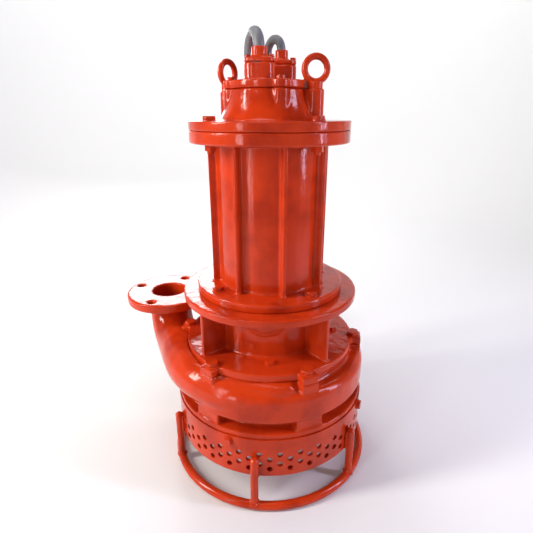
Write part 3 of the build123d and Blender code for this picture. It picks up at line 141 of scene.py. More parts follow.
class PumpSizes(bpy.types.PropertyGroup):
    """Sizes of the dressing, in metres."""

    power_lead: FloatProperty(
        name="Power lead", description="Outside diameter of the power lead", default=0.020, unit="LENGTH")
    control_lead: FloatProperty(
        name="Control lead", description="Outside diameter of the control lead", default=0.016, unit="LENGTH")
    lead_length: FloatProperty(
        name="Lead length", description="Length of each lead", default=10.0, unit="LENGTH")
    coil_y: FloatProperty(
        name="Coil centre", description="Middle of the coils behind the pump", default=0.520, unit="LENGTH")
    power_coil: FloatProperty(
        name="Power coil", description="Radius of the power coil's outer turn", default=0.218, unit="LENGTH")
    control_coil: FloatProperty(
        name="Control coil", description="Radius of the control coil's outer turn", default=0.184,
        unit="LENGTH")
    casting_grain: FloatProperty(
        name="Casting grain", description="Mesh step of the rounded castings", default=0.0022, unit="LENGTH")
    casting_share: FloatProperty(
        name="Casting share", description="Share of the rounded castings' faces that stays", default=0.52)
    casting_softness: IntProperty(
        name="Casting softness", description="Passes that round the castings' corners", default=4)
    strainer_wall: FloatProperty(
        name="Strainer wall", description="Thickness of the strainer's sheet", default=0.006, unit="LENGTH")
    strainer_rim: FloatProperty(
        name="Strainer rim", description="Width of the strainer's lower rim", default=0.016, unit="LENGTH")
    hole: FloatProperty(
        name="Strainer hole", description="Diameter of a strainer hole", default=0.0122, unit="LENGTH")
    hole_row: FloatProperty(
        name="First row", description="Height of the lowest row of holes", default=0.0955, unit="LENGTH")
    hole_step: FloatProperty(
        name="Row step", description="Height from one row of holes to the next", default=0.0115, unit="LENGTH")
    holes: IntProperty(name="Holes", description="Holes in a row", default=32)
    hole_rows: IntProperty(name="Rows", description="Rows of holes", default=4)
    weld: FloatProperty(
        name="Weld", description="Radius of a weld bead", default=0.0035, unit="LENGTH")


def add_node(tree, kind, inputs=None, **settings):
    """Adds a node with its settings, and values or links for its inputs."""
    node = tree.nodes.new(kind)
    for name, value in settings.items():
        setattr(node, name, value)
    for name, value in (inputs or {}).items():
        if isinstance(value, bpy.types.NodeSocket):
            tree.links.new(value, node.inputs[name])
        else:
            node.inputs[name].default_value = value
    return node


def per_mm(size):
    """Texture scale that gives a pattern of a size in millimetres on metre coordinates."""
    return 1000 / size


def wave_per_mm(size):
    """Scale of a wave texture whose bands repeat at a size in millimetres on metre coordinates."""
    return per_mm(size) * math.tau / 20


def new_material(name, color, metallic, roughness):
    """A material with its shader and object coordinates."""
    material = bpy.data.materials.new(name)
    material.use_nodes = True
    tree = material.node_tree
    shader = tree.nodes["Principled BSDF"]
    shader.inputs["Base Color"].default_value = (*color, 1)
    shader.inputs["Metallic"].default_value = metallic
    shader.inputs["Roughness"].default_value = roughness
    place = add_node(tree, "ShaderNodeTexCoord").outputs["Object"]
    return material, tree, shader, place


def enamel_paint(colours, name, peel, runs):
    """Gloss alkyd enamel, brushed and sprayed thickly on rough iron: a wet shine broken by
    orange peel a few millimetres across, upright runs, and a deeper red where it pooled."""
    material, tree, shader, place = new_material(name, colours.enamel, 0.0, 0.2)
    patches = add_node(tree, "ShaderNodeTexNoise", {"Vector": place, "Scale": per_mm(70), "Detail": 5.0})
    tone = add_node(tree, "ShaderNodeValToRGB", {"Fac": patches.outputs["Fac"]})
    tone.color_ramp.elements[0].position = 0.3
    tone.color_ramp.elements[0].color = (*colours.enamel_deep, 1)
    tone.color_ramp.elements[1].position = 0.55
    tone.color_ramp.elements[1].color = (*colours.enamel, 1)
    tree.links.new(tone.outputs["Color"], shader.inputs["Base Color"])
    wet = add_node(tree, "ShaderNodeMapRange",
                   {"Value": patches.outputs["Fac"], "To Min": 0.1, "To Max": 0.2})
    tree.links.new(wet.outputs["Result"], shader.inputs["Roughness"])
    skin = add_node(tree, "ShaderNodeTexNoise", {"Vector": place, "Scale": per_mm(9), "Detail": 3.0})
    drawn = add_node(tree, "ShaderNodeMapping", {"Vector": place, "Scale": (1, 1, 0.16)})
    run = add_node(tree, "ShaderNodeTexNoise",
                   {"Vector": drawn.outputs["Vector"], "Scale": per_mm(22), "Detail": 2.0})
    low = add_node(tree, "ShaderNodeBump",
                   {"Height": run.outputs["Fac"], "Strength": runs, "Distance": 0.004})
    fine = add_node(tree, "ShaderNodeBump",
                    {"Height": skin.outputs["Fac"], "Strength": peel, "Distance": 0.0012,
                     "Normal": low.outputs["Normal"]})
    tree.links.new(fine.outputs["Normal"], shader.inputs["Normal"])
    shader.inputs["IOR"].default_value = 1.34
    return material


def machined_metal(name, color, roughness, lines):
    """Turned or milled metal: fine tool lines round and along the piece, dull to bright."""
    material, tree, shader, place = new_material(name, color, 1.0, roughness)
    drawn = add_node(tree, "ShaderNodeMapping", {"Vector": place, "Scale": (1, 1, 8)})
    marks = add_node(tree, "ShaderNodeTexNoise",
                     {"Vector": drawn.outputs["Vector"], "Scale": per_mm(lines), "Detail": 4.0})
    shine = add_node(tree, "ShaderNodeMapRange",
                     {"Value": marks.outputs["Fac"], "To Min": roughness - 0.1, "To Max": roughness + 0.15})
    tree.links.new(shine.outputs["Result"], shader.inputs["Roughness"])
    bump = add_node(tree, "ShaderNodeBump",
                    {"Height": marks.outputs["Fac"], "Strength": 0.25, "Distance": 0.0003})
    tree.links.new(bump.outputs["Normal"], shader.inputs["Normal"])
    return material


def cast_wear_iron():
    """High-chrome white iron as cast and fettled: dark grey, sand-rough, with brown bloom."""
    material, tree, shader, place = new_material("high_chrome_iron", linear("#5A5654"), 0.85, 0.55)
    bloom = add_node(tree, "ShaderNodeTexNoise", {"Vector": place, "Scale": per_mm(25), "Detail": 6.0})
    tone = add_node(tree, "ShaderNodeValToRGB", {"Fac": bloom.outputs["Fac"]})
    tone.color_ramp.elements[0].color = (*linear("#4B4644"), 1)
    tone.color_ramp.elements[1].color = (*linear("#6D6864"), 1)
    tree.links.new(tone.outputs["Color"], shader.inputs["Base Color"])
    sand = add_node(tree, "ShaderNodeTexNoise", {"Vector": place, "Scale": per_mm(2.5), "Detail": 3.0})
    bump = add_node(tree, "ShaderNodeBump",
                    {"Height": sand.outputs["Fac"], "Strength": 0.5, "Distance": 0.0006})
    tree.links.new(bump.outputs["Normal"], shader.inputs["Normal"])
    return material


def laminated_steel():
    """Stacked electrical steel: thin bright and dark sheet edges. Sheets are half a
    millimetre thick, and their bands are drawn 12.6 millimetres apart so that they show."""
    material, tree, shader, place = new_material("laminated_steel", linear("#7C7D80"), 0.9, 0.45)
    sheets = add_node(tree, "ShaderNodeTexWave",
                      {"Vector": place, "Scale": wave_per_mm(12.6), "Distortion": 0.4},
                      wave_type="BANDS", bands_direction="Z")
    tone = add_node(tree, "ShaderNodeValToRGB", {"Fac": sheets.outputs["Fac"]})
    tone.color_ramp.elements[0].color = (*linear("#55565A"), 1)
    tone.color_ramp.elements[1].color = (*linear("#8E9094"), 1)
    tree.links.new(tone.outputs["Color"], shader.inputs["Base Color"])
    return material


def varnished_copper():
    """Copper end turns dipped in varnish: laced hanks of wire about 25 millimetres across under
    a shine."""
    material, tree, shader, place = new_material("varnished_copper", linear("#A35A2C"), 0.6, 0.3)
    wires = add_node(tree, "ShaderNodeTexWave",
                     {"Vector": place, "Scale": wave_per_mm(25), "Distortion": 3.0, "Detail": 2.0},
                     wave_type="BANDS", bands_direction="DIAGONAL")
    tone = add_node(tree, "ShaderNodeValToRGB", {"Fac": wires.outputs["Fac"]})
    tone.color_ramp.elements[0].color = (*linear("#7A3D1C"), 1)
    tone.color_ramp.elements[1].color = (*linear("#B8703C"), 1)
    tree.links.new(tone.outputs["Color"], shader.inputs["Base Color"])
    bump = add_node(tree, "ShaderNodeBump",
                    {"Height": wires.outputs["Fac"], "Strength": 0.6, "Distance": 0.0012})
    tree.links.new(bump.outputs["Normal"], shader.inputs["Normal"])
    return material


def moulded(name, color, roughness, grain):
    """Moulded rubber or plastic: an even matt skin with a fine pebble and a dusty bloom."""
    material, tree, shader, place = new_material(name, color, 0.0, roughness)
    dust = add_node(tree, "ShaderNodeTexNoise", {"Vector": place, "Scale": per_mm(30), "Detail": 5.0})
    tone = add_node(tree, "ShaderNodeValToRGB", {"Fac": dust.outputs["Fac"]})
    tone.color_ramp.elements[0].color = (*(c * 0.75 for c in color), 1)
    tone.color_ramp.elements[1].color = (*(min(1, c * 1.3) for c in color), 1)
    tree.links.new(tone.outputs["Color"], shader.inputs["Base Color"])
    pebble = add_node(tree, "ShaderNodeTexNoise", {"Vector": place, "Scale": per_mm(grain), "Detail": 3.0})
    bump = add_node(tree, "ShaderNodeBump",
                    {"Height": pebble.outputs["Fac"], "Strength": 0.25, "Distance": 0.0004})
    tree.links.new(bump.outputs["Normal"], shader.inputs["Normal"])
    return material


def finish(name):
    """One of the finishes by name, made when it is first asked for."""
    known = bpy.data.materials.get(name)
    if known:
        return known
    colours = bpy.context.scene.pump_colours
    makers = {
        "cast_enamel": lambda: enamel_paint(colours, name, 0.3, 0.3),
        "steel_enamel": lambda: enamel_paint(colours, name, 0.2, 0.12),
        "turned_steel": lambda: machined_metal(name, linear("#B9BABC"), 0.3, 3),
        "grey_iron": lambda: machined_metal(name, linear("#77787A"), 0.45, 4),
        "silicon_carbide": lambda: moulded(name, linear("#3A3B3E"), 0.25, 2),
        "high_chrome_iron": cast_wear_iron,
        "laminated_steel": laminated_steel,
        "varnished_copper": varnished_copper,
        "phenolic": lambda: moulded(name, linear("#26211F"), 0.35, 3),
        "nitrile_rubber": lambda: moulded(name, linear("#232324"), 0.6, 2),
        "lead_rubber": lambda: moulded(name, colours.sheath, 0.42, 3),
        "core_pvc": lambda: moulded(name, linear("#2F4E86"), 0.35, 2),
        "nylon_strap": lambda: moulded(name, linear("#1B1B1C"), 0.5, 1.5),
    }
    material = makers[name]()
    material.name = name
    return material


SLOT_FINISH = {
    "enamel": "cast_enamel",
    "enamelled_steel": "steel_enamel",
    "machined_steel": "turned_steel",
    "wear_iron": "high_chrome_iron",
    "bare_iron": "grey_iron",
    "seal_ceramic": "silicon_carbide",
    "core_steel": "laminated_steel",
    "winding": "varnished_copper",
    "moulding": "phenolic",
    "grommet_rubber": "nitrile_rubber",
    "cable_sheath": "lead_rubber",
    "core_insulation": "core_pvc",
}
NODE_SLOT = {entry["node"]: entry["material_slot"] for entry in frame["record"]["subparts"]}
NODE_BODY = {node: body for body, nodes in frame["record"]["behaviour"]["bodies"].items() for node in nodes}


def new_piece(name, bm, slot, body=STATIC, replaced=(), sharp=35):
    """Makes a bmesh a finished piece that rides on a body and stands for some nodes."""
    mesh = bpy.data.meshes.new(name)
    bmesh.ops.recalc_face_normals(bm, faces=bm.faces)
    bm.to_mesh(mesh)
    bm.free()
    for face in mesh.polygons:
        face.use_smooth = True
    mesh.set_sharp_from_angle(angle=math.radians(sharp))
    mesh.materials.append(finish(SLOT_FINISH[slot]))
    piece = bpy.data.objects.new(name, mesh)
    bpy.context.scene.collection.objects.link(piece)
    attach(piece, body)
    if replaced:
        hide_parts(*replaced)
    return piece


def node_islands(node):
    """The separate solids of a node, each as a list of points."""
    bm = bmesh.new()
    bm.from_mesh(frame["nodes"][node].data)
    bmesh.ops.remove_doubles(bm, verts=bm.verts, dist=1e-6)
    islands, seen = [], set()
    for vert in bm.verts:
        if vert in seen:
            continue
        group, open_ends = [], [vert]
        seen.add(vert)
        while open_ends:
            here = open_ends.pop()
            group.append(here.co.copy())
            for edge in here.link_edges:
                other = edge.other_vert(here)
                if other not in seen:
                    seen.add(other)
                    open_ends.append(other)
        islands.append(group)
    bm.free()
    return islands


def off_axis(point, centre, along):
    """Distance of a point from the axis through a centre."""
    arm = point - centre
    return (arm - along * arm.dot(along)).length


def upright(along, reach):
    """Turn that stands a shape's Z along a direction, with its X towards a corner."""
    side = along.cross(reach).normalized()
    return Matrix((reach.normalized(), side, along)).transposed().to_4x4()


def bolt_measure(points, along):
    """Crown's centre, seat, top, corner radius and corner of a hexagon head, along a direction."""
    top = max(p.dot(along) for p in points)
    crown = [p for p in points if p.dot(along) > top - 1e-5]
    centre = sum(crown, Vector()) / len(crown)
    corner = max((p - centre).length for p in crown)
    seat = min(p.dot(along) for p in points if off_axis(p, centre, along) > 0.93 * corner)
    reach = max(crown, key=lambda p: (p - centre).length) - centre
    return centre, seat, top, corner, reach


WASHER_SHARE = 0.2  # of the head's height
WASHER_OVER = 1.16  # of the corner radius
WASHER_EDGE = 0.45  # of the washer's thickness
CORNER_CUT = 0.24  # of the corner radius


def add_hex_head(bm, centre, height, corner, reach, along):
    """Hexagon head with chamfered corners on a washer, its axis along a direction."""
    washer = height * WASHER_SHARE
    base = Matrix.Translation(centre - along * height) @ upright(along, reach)
    head = bmesh.ops.create_cone(
        bm, cap_ends=True, segments=6, radius1=corner, radius2=corner, depth=height - washer,
        matrix=base @ Matrix.Translation((0, 0, washer + (height - washer) / 2)))["verts"]
    upper = [v for v in head if (v.co - centre).dot(along) > -1e-6]
    bmesh.ops.bevel(bm, geom=upper, offset=corner * CORNER_CUT, affect="VERTICES", segments=3,
                    profile=0.5, material=-1)
    ring = bmesh.ops.create_cone(
        bm, cap_ends=True, segments=28, radius1=corner * WASHER_OVER, radius2=corner * WASHER_OVER,
        depth=washer, matrix=base @ Matrix.Translation((0, 0, washer / 2)))["verts"]
    middle = washer / 2 - height
    rim = list({e for v in ring for e in v.link_edges
                if all((u.co - centre).dot(along) > middle for u in e.verts)})
    bmesh.ops.bevel(bm, geom=rim, offset=washer * WASHER_EDGE, affect="EDGES", segments=2,
                    profile=0.5, material=-1)


def add_bolt(bm, points, along, shank_share=None):
    """Dressed bolt in the place of a plain one, its shank as found or a share of the head's corner."""
    centre, seat, top, corner, reach = bolt_measure(points, along)
    low = min(p.dot(along) for p in points)
    if shank_share:
        shank = corner * shank_share
    else:
        shank = min(off_axis(p, centre, along) for p in points
                    if p.dot(along) < low + 1e-5 and off_axis(p, centre, along) > 1e-4)
    add_hex_head(bm, centre, top - seat, corner, reach, along)
    middle = centre - along * (top - (seat + low) / 2)
    bmesh.ops.create_cone(bm, cap_ends=True, segments=16, radius1=shank, radius2=shank, depth=seat - low,
                          matrix=Matrix.Translation(middle) @ upright(along, reach))


UP = Vector((0, 0, 1))
CASTINGS = ("volute_casing", "bracket", "motor_frame", "top_cover", "terminal_cover", "gland_plates")
BOLT_GROUPS = {
    "casing_bolts": UP,
    "liner_bolts": UP,
    "frame_bolts": UP,
    "cover_bolts": UP,
    "lid_bolts": UP,
    "gland_bolts": UP,
    "suction_bolts": -UP,
}


class PUMP_OT_finishes(bpy.types.Operator):
    """Give every CAD node its finish"""

    bl_idname = "pump.finishes"
    bl_label = "Finishes"

    def execute(self, context):
        for name, node in frame["nodes"].items():
            node.data.materials.clear()
            node.data.materials.append(finish(SLOT_FINISH[NODE_SLOT[name]]))
        return {"FINISHED"}


class PUMP_OT_castings(bpy.types.Operator):
    """Sand-cast look: inner and outer corners rounded as the mould and the paint leave them"""

    bl_idname = "pump.castings"
    bl_label = "Castings"

    def execute(self, context):
        sizes = context.scene.pump_sizes
        for name in CASTINGS:
            source = frame["nodes"][name].data
            bm = bmesh.new()
            bm.from_mesh(source)
            bmesh.ops.remove_doubles(bm, verts=bm.verts, dist=1e-5)
            piece = new_piece(name + "_cast", bm, NODE_SLOT[name], NODE_BODY[name], [name], sharp=60)
            skin = piece.modifiers.new("skin", "REMESH")
            skin.mode = "VOXEL"
            skin.voxel_size = sizes.casting_grain
            skin.use_smooth_shade = True
            soft = piece.modifiers.new("soft", "SMOOTH")
            soft.factor = 0.5
            soft.iterations = sizes.casting_softness
            thin = piece.modifiers.new("thin", "DECIMATE")
            thin.ratio = sizes.casting_share
            cast = bpy.data.meshes.new_from_object(piece.evaluated_get(context.evaluated_depsgraph_get()))
            piece.modifiers.clear()
            piece.data = cast
        return {"FINISHED"}


class PUMP_OT_bolts(bpy.types.Operator):
    """Chamfered hexagon heads on washers for every group of bolts"""

    bl_idname = "pump.bolts"
    bl_label = "Bolts"

    def execute(self, context):
        for group, along in BOLT_GROUPS.items():
            bm = bmesh.new()
            for points in node_islands(group):
                add_bolt(bm, points, along)
            new_piece(group + "_dressed", bm, NODE_SLOT[group], replaced=[group])
        return {"FINISHED"}


class PUMP_OT_strainer_bolts(bpy.types.Operator):
    """Radial bolts that hold the strainer"""

    bl_idname = "pump.strainer_bolts"
    bl_label = "Strainer bolts"

    def execute(self, context):
        bm = bmesh.new()
        for points in node_islands("strainer_bolts"):
            middle = sum(points, Vector()) / len(points)
            add_bolt(bm, points, Vector((middle.x, middle.y, 0)).normalized(), shank_share=0.5)
        new_piece("strainer_bolts_dressed", bm, NODE_SLOT["strainer_bolts"], replaced=["strainer_bolts"])
        return {"FINISHED"}


class PUMP_OT_strainer(bpy.types.Operator):
    """Rolled strainer wall with staggered rows of round holes"""

    bl_idname = "pump.strainer"
    bl_label = "Strainer"

    def execute(self, context):
        sizes = context.scene.pump_sizes
        low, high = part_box("strainer")
        outer, wall = high.x, sizes.strainer_wall
        edge = wall / 4
        lip = outer - wall - sizes.strainer_rim
        section = [
            (lip, low.z), (outer - edge, low.z), (outer, low.z + edge), (outer, high.z),
            (outer - wall, high.z), (outer - wall, low.z + wall), (lip, low.z + wall),
        ]
        bm = bmesh.new()
        loop = [bm.verts.new((x, 0, z)) for x, z in section]
        edges = [bm.edges.new((a, b)) for a, b in zip(loop, loop[1:] + loop[:1])]
        bmesh.ops.spin(bm, geom=loop + edges, cent=(0, 0, 0), axis=(0, 0, 1), angle=math.tau,
                       steps=192, use_merge=True)
        bmesh.ops.remove_doubles(bm, verts=bm.verts, dist=1e-6)
        strainer = new_piece("strainer_wall", bm, NODE_SLOT["strainer"], replaced=["strainer"])
        punch = bmesh.new()
        for row in range(sizes.hole_rows):
            for hole in range(sizes.holes):
                turn = math.tau * (hole + row % 2 / 2) / sizes.holes
                place = (Matrix.Rotation(turn, 4, "Z")
                         @ Matrix.Translation((outer - wall / 2, 0, sizes.hole_row + row * sizes.hole_step))
                         @ Matrix.Rotation(math.pi / 2, 4, "Y"))
                bmesh.ops.create_cone(punch, cap_ends=True, segments=20, radius1=sizes.hole / 2,
                                      radius2=sizes.hole / 2, depth=wall * 4, matrix=place)
        mesh = bpy.data.meshes.new("punch")
        punch.to_mesh(mesh)
        punch.free()
        tool = bpy.data.objects.new("punch", mesh)
        context.scene.collection.objects.link(tool)
        cut = strainer.modifiers.new("holes", "BOOLEAN")
        cut.operation = "DIFFERENCE"
        cut.solver = "EXACT"
        cut.object = tool
        holed = bpy.data.meshes.new_from_object(strainer.evaluated_get(context.evaluated_depsgraph_get()))
        strainer.modifiers.clear()
        strainer.data = holed
        holed.set_sharp_from_angle(angle=math.radians(30))
        bpy.data.objects.remove(tool)
        return {"FINISHED"}


WALL_BEADS = 15  # up each side of a leg
FOOT_BEADS = 18  # round a leg's foot
BEAD_SPREAD = (0.85, 1.15)  # uneven hand of the welder


class PUMP_OT_welds(bpy.types.Operator):
    """Beads that weld the legs to the strainer and to the base ring"""

    bl_idname = "pump.welds"
    bl_label = "Welds"

    def execute(self, context):
        sizes = context.scene.pump_sizes
        chance = random.Random(7)
        ring_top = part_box("base_ring")[1].z
        wall_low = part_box("strainer")[0].z
        bm = bmesh.new()
        for points in node_islands("stand_legs"):
            middle = Vector((sum(p.x for p in points), sum(p.y for p in points), 0)) / len(points)
            outward = middle.normalized()
            sideways = UP.cross(outward)
            leg = max((Vector((p.x, p.y, 0)) - middle).length for p in points)
            leg_top = max(p.z for p in points)
            for side in (-1, 1):
                for step in range(WALL_BEADS):
                    level = wall_low + 0.003 + (leg_top - wall_low - 0.012) * step / (WALL_BEADS - 1)
                    spot = middle - outward * leg * 0.75 + sideways * side * leg * 0.72 + UP * level
                    self.bead(bm, sizes.weld * chance.uniform(*BEAD_SPREAD), spot)
            for step in range(FOOT_BEADS):
                turn = math.tau * step / FOOT_BEADS
                reach = outward * math.cos(turn) + sideways * math.sin(turn)
                drop = (1 - math.sqrt(max(0, 1 - (leg * math.cos(turn) / (ring_top / 2)) ** 2))) * ring_top / 2
                spot = middle + reach * leg + UP * (ring_top - drop)
                self.bead(bm, sizes.weld * chance.uniform(*BEAD_SPREAD), spot)
        new_piece("leg_welds", bm, NODE_SLOT["stand_legs"], sharp=60)
        return {"FINISHED"}

    def bead(self, bm, radius, spot):
        bmesh.ops.create_uvsphere(bm, u_segments=8, v_segments=5, radius=radius,
                                  matrix=Matrix.Translation(spot))


CLIMB = 0.4  # part of a turn in which a coil climbs to its second layer
END_RISE = 0.1  # part of a turn in which a coil's end rises on top of it
TURN_POINTS = 24  # points of a lead in each turn of a coil
STRAP = 0.0012
STRAP_WIDTH = 0.016
STRAP_BEND = 0.42  # rounding of a strap's corners, of the lead's diameter
TIES = (0.22, 0.55, 0.88)  # places of the ties, in parts of a turn


def lead_points(route, coil):
    """Points of a lead: its route, then the turns of its tied coil, ending on top."""
    points = [Vector(p) for p in route]
    swell = 1 / math.cos(math.pi / TURN_POINTS)
    inward = coil["columns"] - 1
    whole = inward + CLIMB + coil["outward"]
    steps = round(whole * TURN_POINTS)
    for step in range(steps + 1):
        turns = whole * step / steps
        azimuth = math.radians(coil["start"]) + coil["way"] * math.tau * turns
        lift = min(1, max(0, (turns - inward) / CLIMB))
        radius = coil["outer"] - min(turns, inward) * coil["pitch"]
        radius += max(0, turns - inward - CLIMB) * coil["pitch"]
        end = min(1, max(0, (turns - whole + END_RISE) / END_RISE))
        level = coil["floor"] + coil["pitch"] * (0.5 + lift + end)
        points.append(Vector((radius * swell * math.cos(azimuth),
                              coil["y"] + radius * swell * math.sin(azimuth), level)))
    return points


def new_lead(name, points, diameter):
    """Round rubber lead on one smooth spline."""
    curve = bpy.data.curves.new(name, "CURVE")
    curve.dimensions = "3D"
    curve.bevel_depth = diameter / 2
    curve.bevel_resolution = 5
    curve.resolution_u = 6
    curve.use_fill_caps = True
    spline = curve.splines.new("NURBS")
    spline.points.add(len(points) - 1)
    for control, point in zip(spline.points, points):
        control.co = (*point, 1)
    spline.order_u = 3
    spline.use_endpoint_u = True
    curve.materials.append(finish("lead_rubber"))
    lead = bpy.data.objects.new(name, curve)
    bpy.context.scene.collection.objects.link(lead)
    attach(lead, STATIC)
    return lead


def coil_ties(name, coil):
    """Nylon straps pulled tight round both layers of a coil."""
    bm = bmesh.new()
    half = coil["pitch"] / 2 + STRAP
    inward = coil["columns"] - 1
    inner = coil["outer"] - inward * coil["pitch"]
    for turn in TIES:
        last = math.floor(CLIMB + coil["outward"] - turn)
        first = 0 if turn > CLIMB else 1
        bottom_in = coil["outer"] - (inward - 1 + turn) * coil["pitch"]
        top_in = inner + (first + turn - CLIMB) * coil["pitch"]
        if turn < CLIMB:
            bottom_in = top_in = inner
        bottom_out = coil["outer"] - turn * coil["pitch"]
        top_out = inner + (last + turn - CLIMB) * coil["pitch"]
        low, high = coil["floor"] + STRAP / 2, coil["floor"] + 2 * coil["pitch"] + STRAP
        place = (Matrix.Translation((0, coil["y"], 0))
                 @ Matrix.Rotation(math.radians(coil["start"]) + coil["way"] * math.tau * turn, 4, "Z"))
        corners = [(bottom_in - half, low), (bottom_out + half, low),
                   (top_out + half, high), (top_in - half, high)]
        loop = [bm.verts.new(place @ Vector((reach, -STRAP_WIDTH / 2, level))) for reach, level in corners]
        edges = [bm.edges.new(pair) for pair in zip(loop, loop[1:] + loop[:1])]
        drawn = bmesh.ops.extrude_edge_only(bm, edges=edges)["geom"]
        around = place.to_3x3() @ Vector((0, 1, 0))
        bmesh.ops.translate(bm, vec=around * STRAP_WIDTH,
                            verts=[v for v in drawn if isinstance(v, bmesh.types.BMVert)])
        bends = [e for v in loop for e in v.link_edges
                 if abs((e.verts[0].co - e.verts[1].co).normalized().dot(around)) > 0.9]
        bmesh.ops.bevel(bm, geom=bends, offset=coil["pitch"] * STRAP_BEND, affect="EDGES", segments=5,
                        profile=0.5, material=-1)
    bmesh.ops.recalc_face_normals(bm, faces=bm.faces)
    bmesh.ops.solidify(bm, geom=list(bm.faces), thickness=STRAP)
    ties = new_piece(name, bm, "grommet_rubber")
    ties.data.materials[0] = finish("nylon_strap")
    return ties


class PUMP_OT_power_lead(bpy.types.Operator):
    """Power lead from its gland to its tied coil behind the pump"""

    bl_idname = "pump.power_lead"
    bl_label = "Power lead"

    def execute(self, context):
        sizes = context.scene.pump_sizes
        coil = {"outer": sizes.power_coil, "columns": 5, "outward": 3.6583, "pitch": sizes.power_lead,
                "start": 190, "way": -1, "floor": 0.0, "y": sizes.coil_y}
        lead = new_lead("power_lead", lead_points(POWER_ROUTE, coil), sizes.power_lead)
        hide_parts("power_cable", "power_cable_coil")
        ties = coil_ties("power_lead_ties", coil)
        return {"FINISHED"}


class PUMP_OT_control_lead(bpy.types.Operator):
    """Control lead from its gland to its tied coil on top of the power coil"""

    bl_idname = "pump.control_lead"
    bl_label = "Control lead"

    def execute(self, context):
        sizes = context.scene.pump_sizes
        floor = 2 * sizes.power_lead + 0.0003
        coil = {"outer": sizes.control_coil, "columns": 6, "outward": 4.6583, "pitch": sizes.control_lead,
                "start": -10, "way": 1, "floor": floor, "y": sizes.coil_y}
        lead = new_lead("control_lead", lead_points(CONTROL_ROUTE, coil), sizes.control_lead)
        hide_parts("control_cable", "control_cable_coil")
        ties = coil_ties("control_lead_ties", coil)
        return {"FINISHED"}


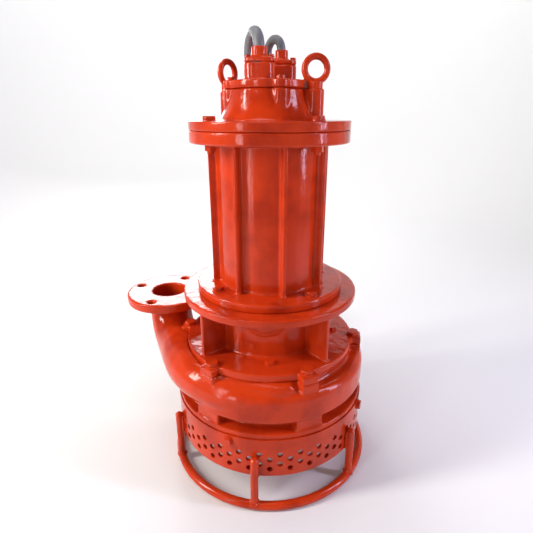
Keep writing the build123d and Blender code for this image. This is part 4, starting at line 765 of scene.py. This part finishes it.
class PUMP_OT_stage(bpy.types.Operator):
    """Pale floor with a swept backdrop, soft lights and the camera"""

    bl_idname = "pump.stage"
    bl_label = "Stage"

    def execute(self, context):
        scene = context.scene
        self.backdrop(scene)
        self.light("key_left", (-2.0, -0.6, 1.5), (0, 0, 0.45), 0.34, 1.4, 54, (1.0, 0.97, 0.92))
        self.light("strip_left", (-1.4, -1.7, 0.9), (0, 0, 0.45), 0.05, 1.6, 10, (1.0, 1.0, 1.0))
        self.light("strip_right", (1.6, -0.5, 1.1), (0, 0, 0.5), 0.2, 1.5, 22, (0.80, 0.74, 1.0))
        self.light("window_back", (-0.83, 2.35, 1.35), (-0.25, 0.11, 0.35), 0.9, 0.6, 18, (1.0, 0.97, 1.0))
        self.light("top_soft", (-0.3, -0.1, 2.4), (0, 0, 0.4), 1.0, 0.8, 9, (1.0, 1.0, 1.0))
        self.light("paper_wash", (0, 1.6, 3.2), (0, 3.8, 0.9), 4.0, 0.8, 95, (1.0, 1.0, 1.0))
        world = scene.world or bpy.data.worlds.new("studio")
        scene.world = world
        world.use_nodes = True
        sky = world.node_tree.nodes["Background"]
        sky.inputs["Color"].default_value = (1, 1, 1, 1)
        sky.inputs["Strength"].default_value = 0.06
        camera = bpy.data.cameras.new("photo_camera")
        camera.sensor_width = 36
        camera.lens = 28.29
        camera.shift_x = -0.006
        eye = bpy.data.objects.new("photo_camera", camera)
        eye.location = (0, -0.8482, 0.7538)
        eye.rotation_euler = (math.radians(90 - 20.05), 0, 0)
        scene.collection.objects.link(eye)
        scene.camera = eye
        scene.view_settings.view_transform = "Standard"
        return {"FINISHED"}

    def backdrop(self, scene):
        bm = bmesh.new()
        reach, high, bend = 3.8, 2.6, 1.6
        line = [bm.verts.new((0, 0, 0)), bm.verts.new((reach - bend, 0, 0))]
        for step in range(1, 11):
            turn = math.radians(90 * step / 10)
            line.append(bm.verts.new((reach - bend + bend * math.sin(turn), 0, bend - bend * math.cos(turn))))
        line.append(bm.verts.new((reach, 0, high)))
        edges = [bm.edges.new(pair) for pair in zip(line, line[1:])]
        bmesh.ops.spin(bm, geom=line + edges, cent=(0, 0, 0), axis=(0, 0, 1), angle=math.tau,
                       steps=72, use_merge=True)
        bmesh.ops.remove_doubles(bm, verts=bm.verts, dist=1e-6)
        bmesh.ops.recalc_face_normals(bm, faces=bm.faces)
        mesh = bpy.data.meshes.new("studio_sweep")
        bm.to_mesh(mesh)
        bm.free()
        for face in mesh.polygons:
            face.use_smooth = True
        paper = new_material("paper_sweep", scene.pump_colours.studio, 0.0, 0.9)[0]
        mesh.materials.append(paper)
        sweep = bpy.data.objects.new("studio_sweep", mesh)
        scene.collection.objects.link(sweep)

    def light(self, name, place, aim, wide, high, power, color):
        lamp = bpy.data.lights.new(name, "AREA")
        lamp.shape = "RECTANGLE"
        lamp.size = wide
        lamp.size_y = high
        lamp.energy = power
        lamp.color = color
        holder = bpy.data.objects.new(name, lamp)
        holder.location = place
        holder.rotation_euler = (Vector(aim) - Vector(place)).to_track_quat("-Z", "Y").to_euler()
        bpy.context.scene.collection.objects.link(holder)


OPERATORS = (
    PUMP_OT_finishes,
    PUMP_OT_castings,
    PUMP_OT_bolts,
    PUMP_OT_strainer_bolts,
    PUMP_OT_strainer,
    PUMP_OT_welds,
    PUMP_OT_power_lead,
    PUMP_OT_control_lead,
    PUMP_OT_stage,
)


class PUMP_PT_dressing(bpy.types.Panel):
    """Steps that dress the pump"""

    bl_idname = "PUMP_PT_dressing"
    bl_label = "Slurry pump"
    bl_space_type = "VIEW_3D"
    bl_region_type = "UI"
    bl_category = "Pump"

    def draw(self, context):
        for operator in OPERATORS:
            self.layout.operator(operator.bl_idname)


CLASSES = (PumpColours, PumpSizes, *OPERATORS, PUMP_PT_dressing)


def register():
    for cls in CLASSES:
        bpy.utils.register_class(cls)
    bpy.types.Scene.pump_colours = PointerProperty(type=PumpColours)
    bpy.types.Scene.pump_sizes = PointerProperty(type=PumpSizes)


def unregister():
    del bpy.types.Scene.pump_sizes
    del bpy.types.Scene.pump_colours
    for cls in reversed(CLASSES):
        bpy.utils.unregister_class(cls)


def main():
    register()
    bpy.ops.pump.finishes()
    bpy.ops.pump.castings()
    bpy.ops.pump.bolts()
    bpy.ops.pump.strainer_bolts()
    bpy.ops.pump.strainer()
    bpy.ops.pump.welds()
    bpy.ops.pump.power_lead()
    bpy.ops.pump.control_lead()
    bpy.ops.pump.stage()


if __name__ == "__main__":
    main()
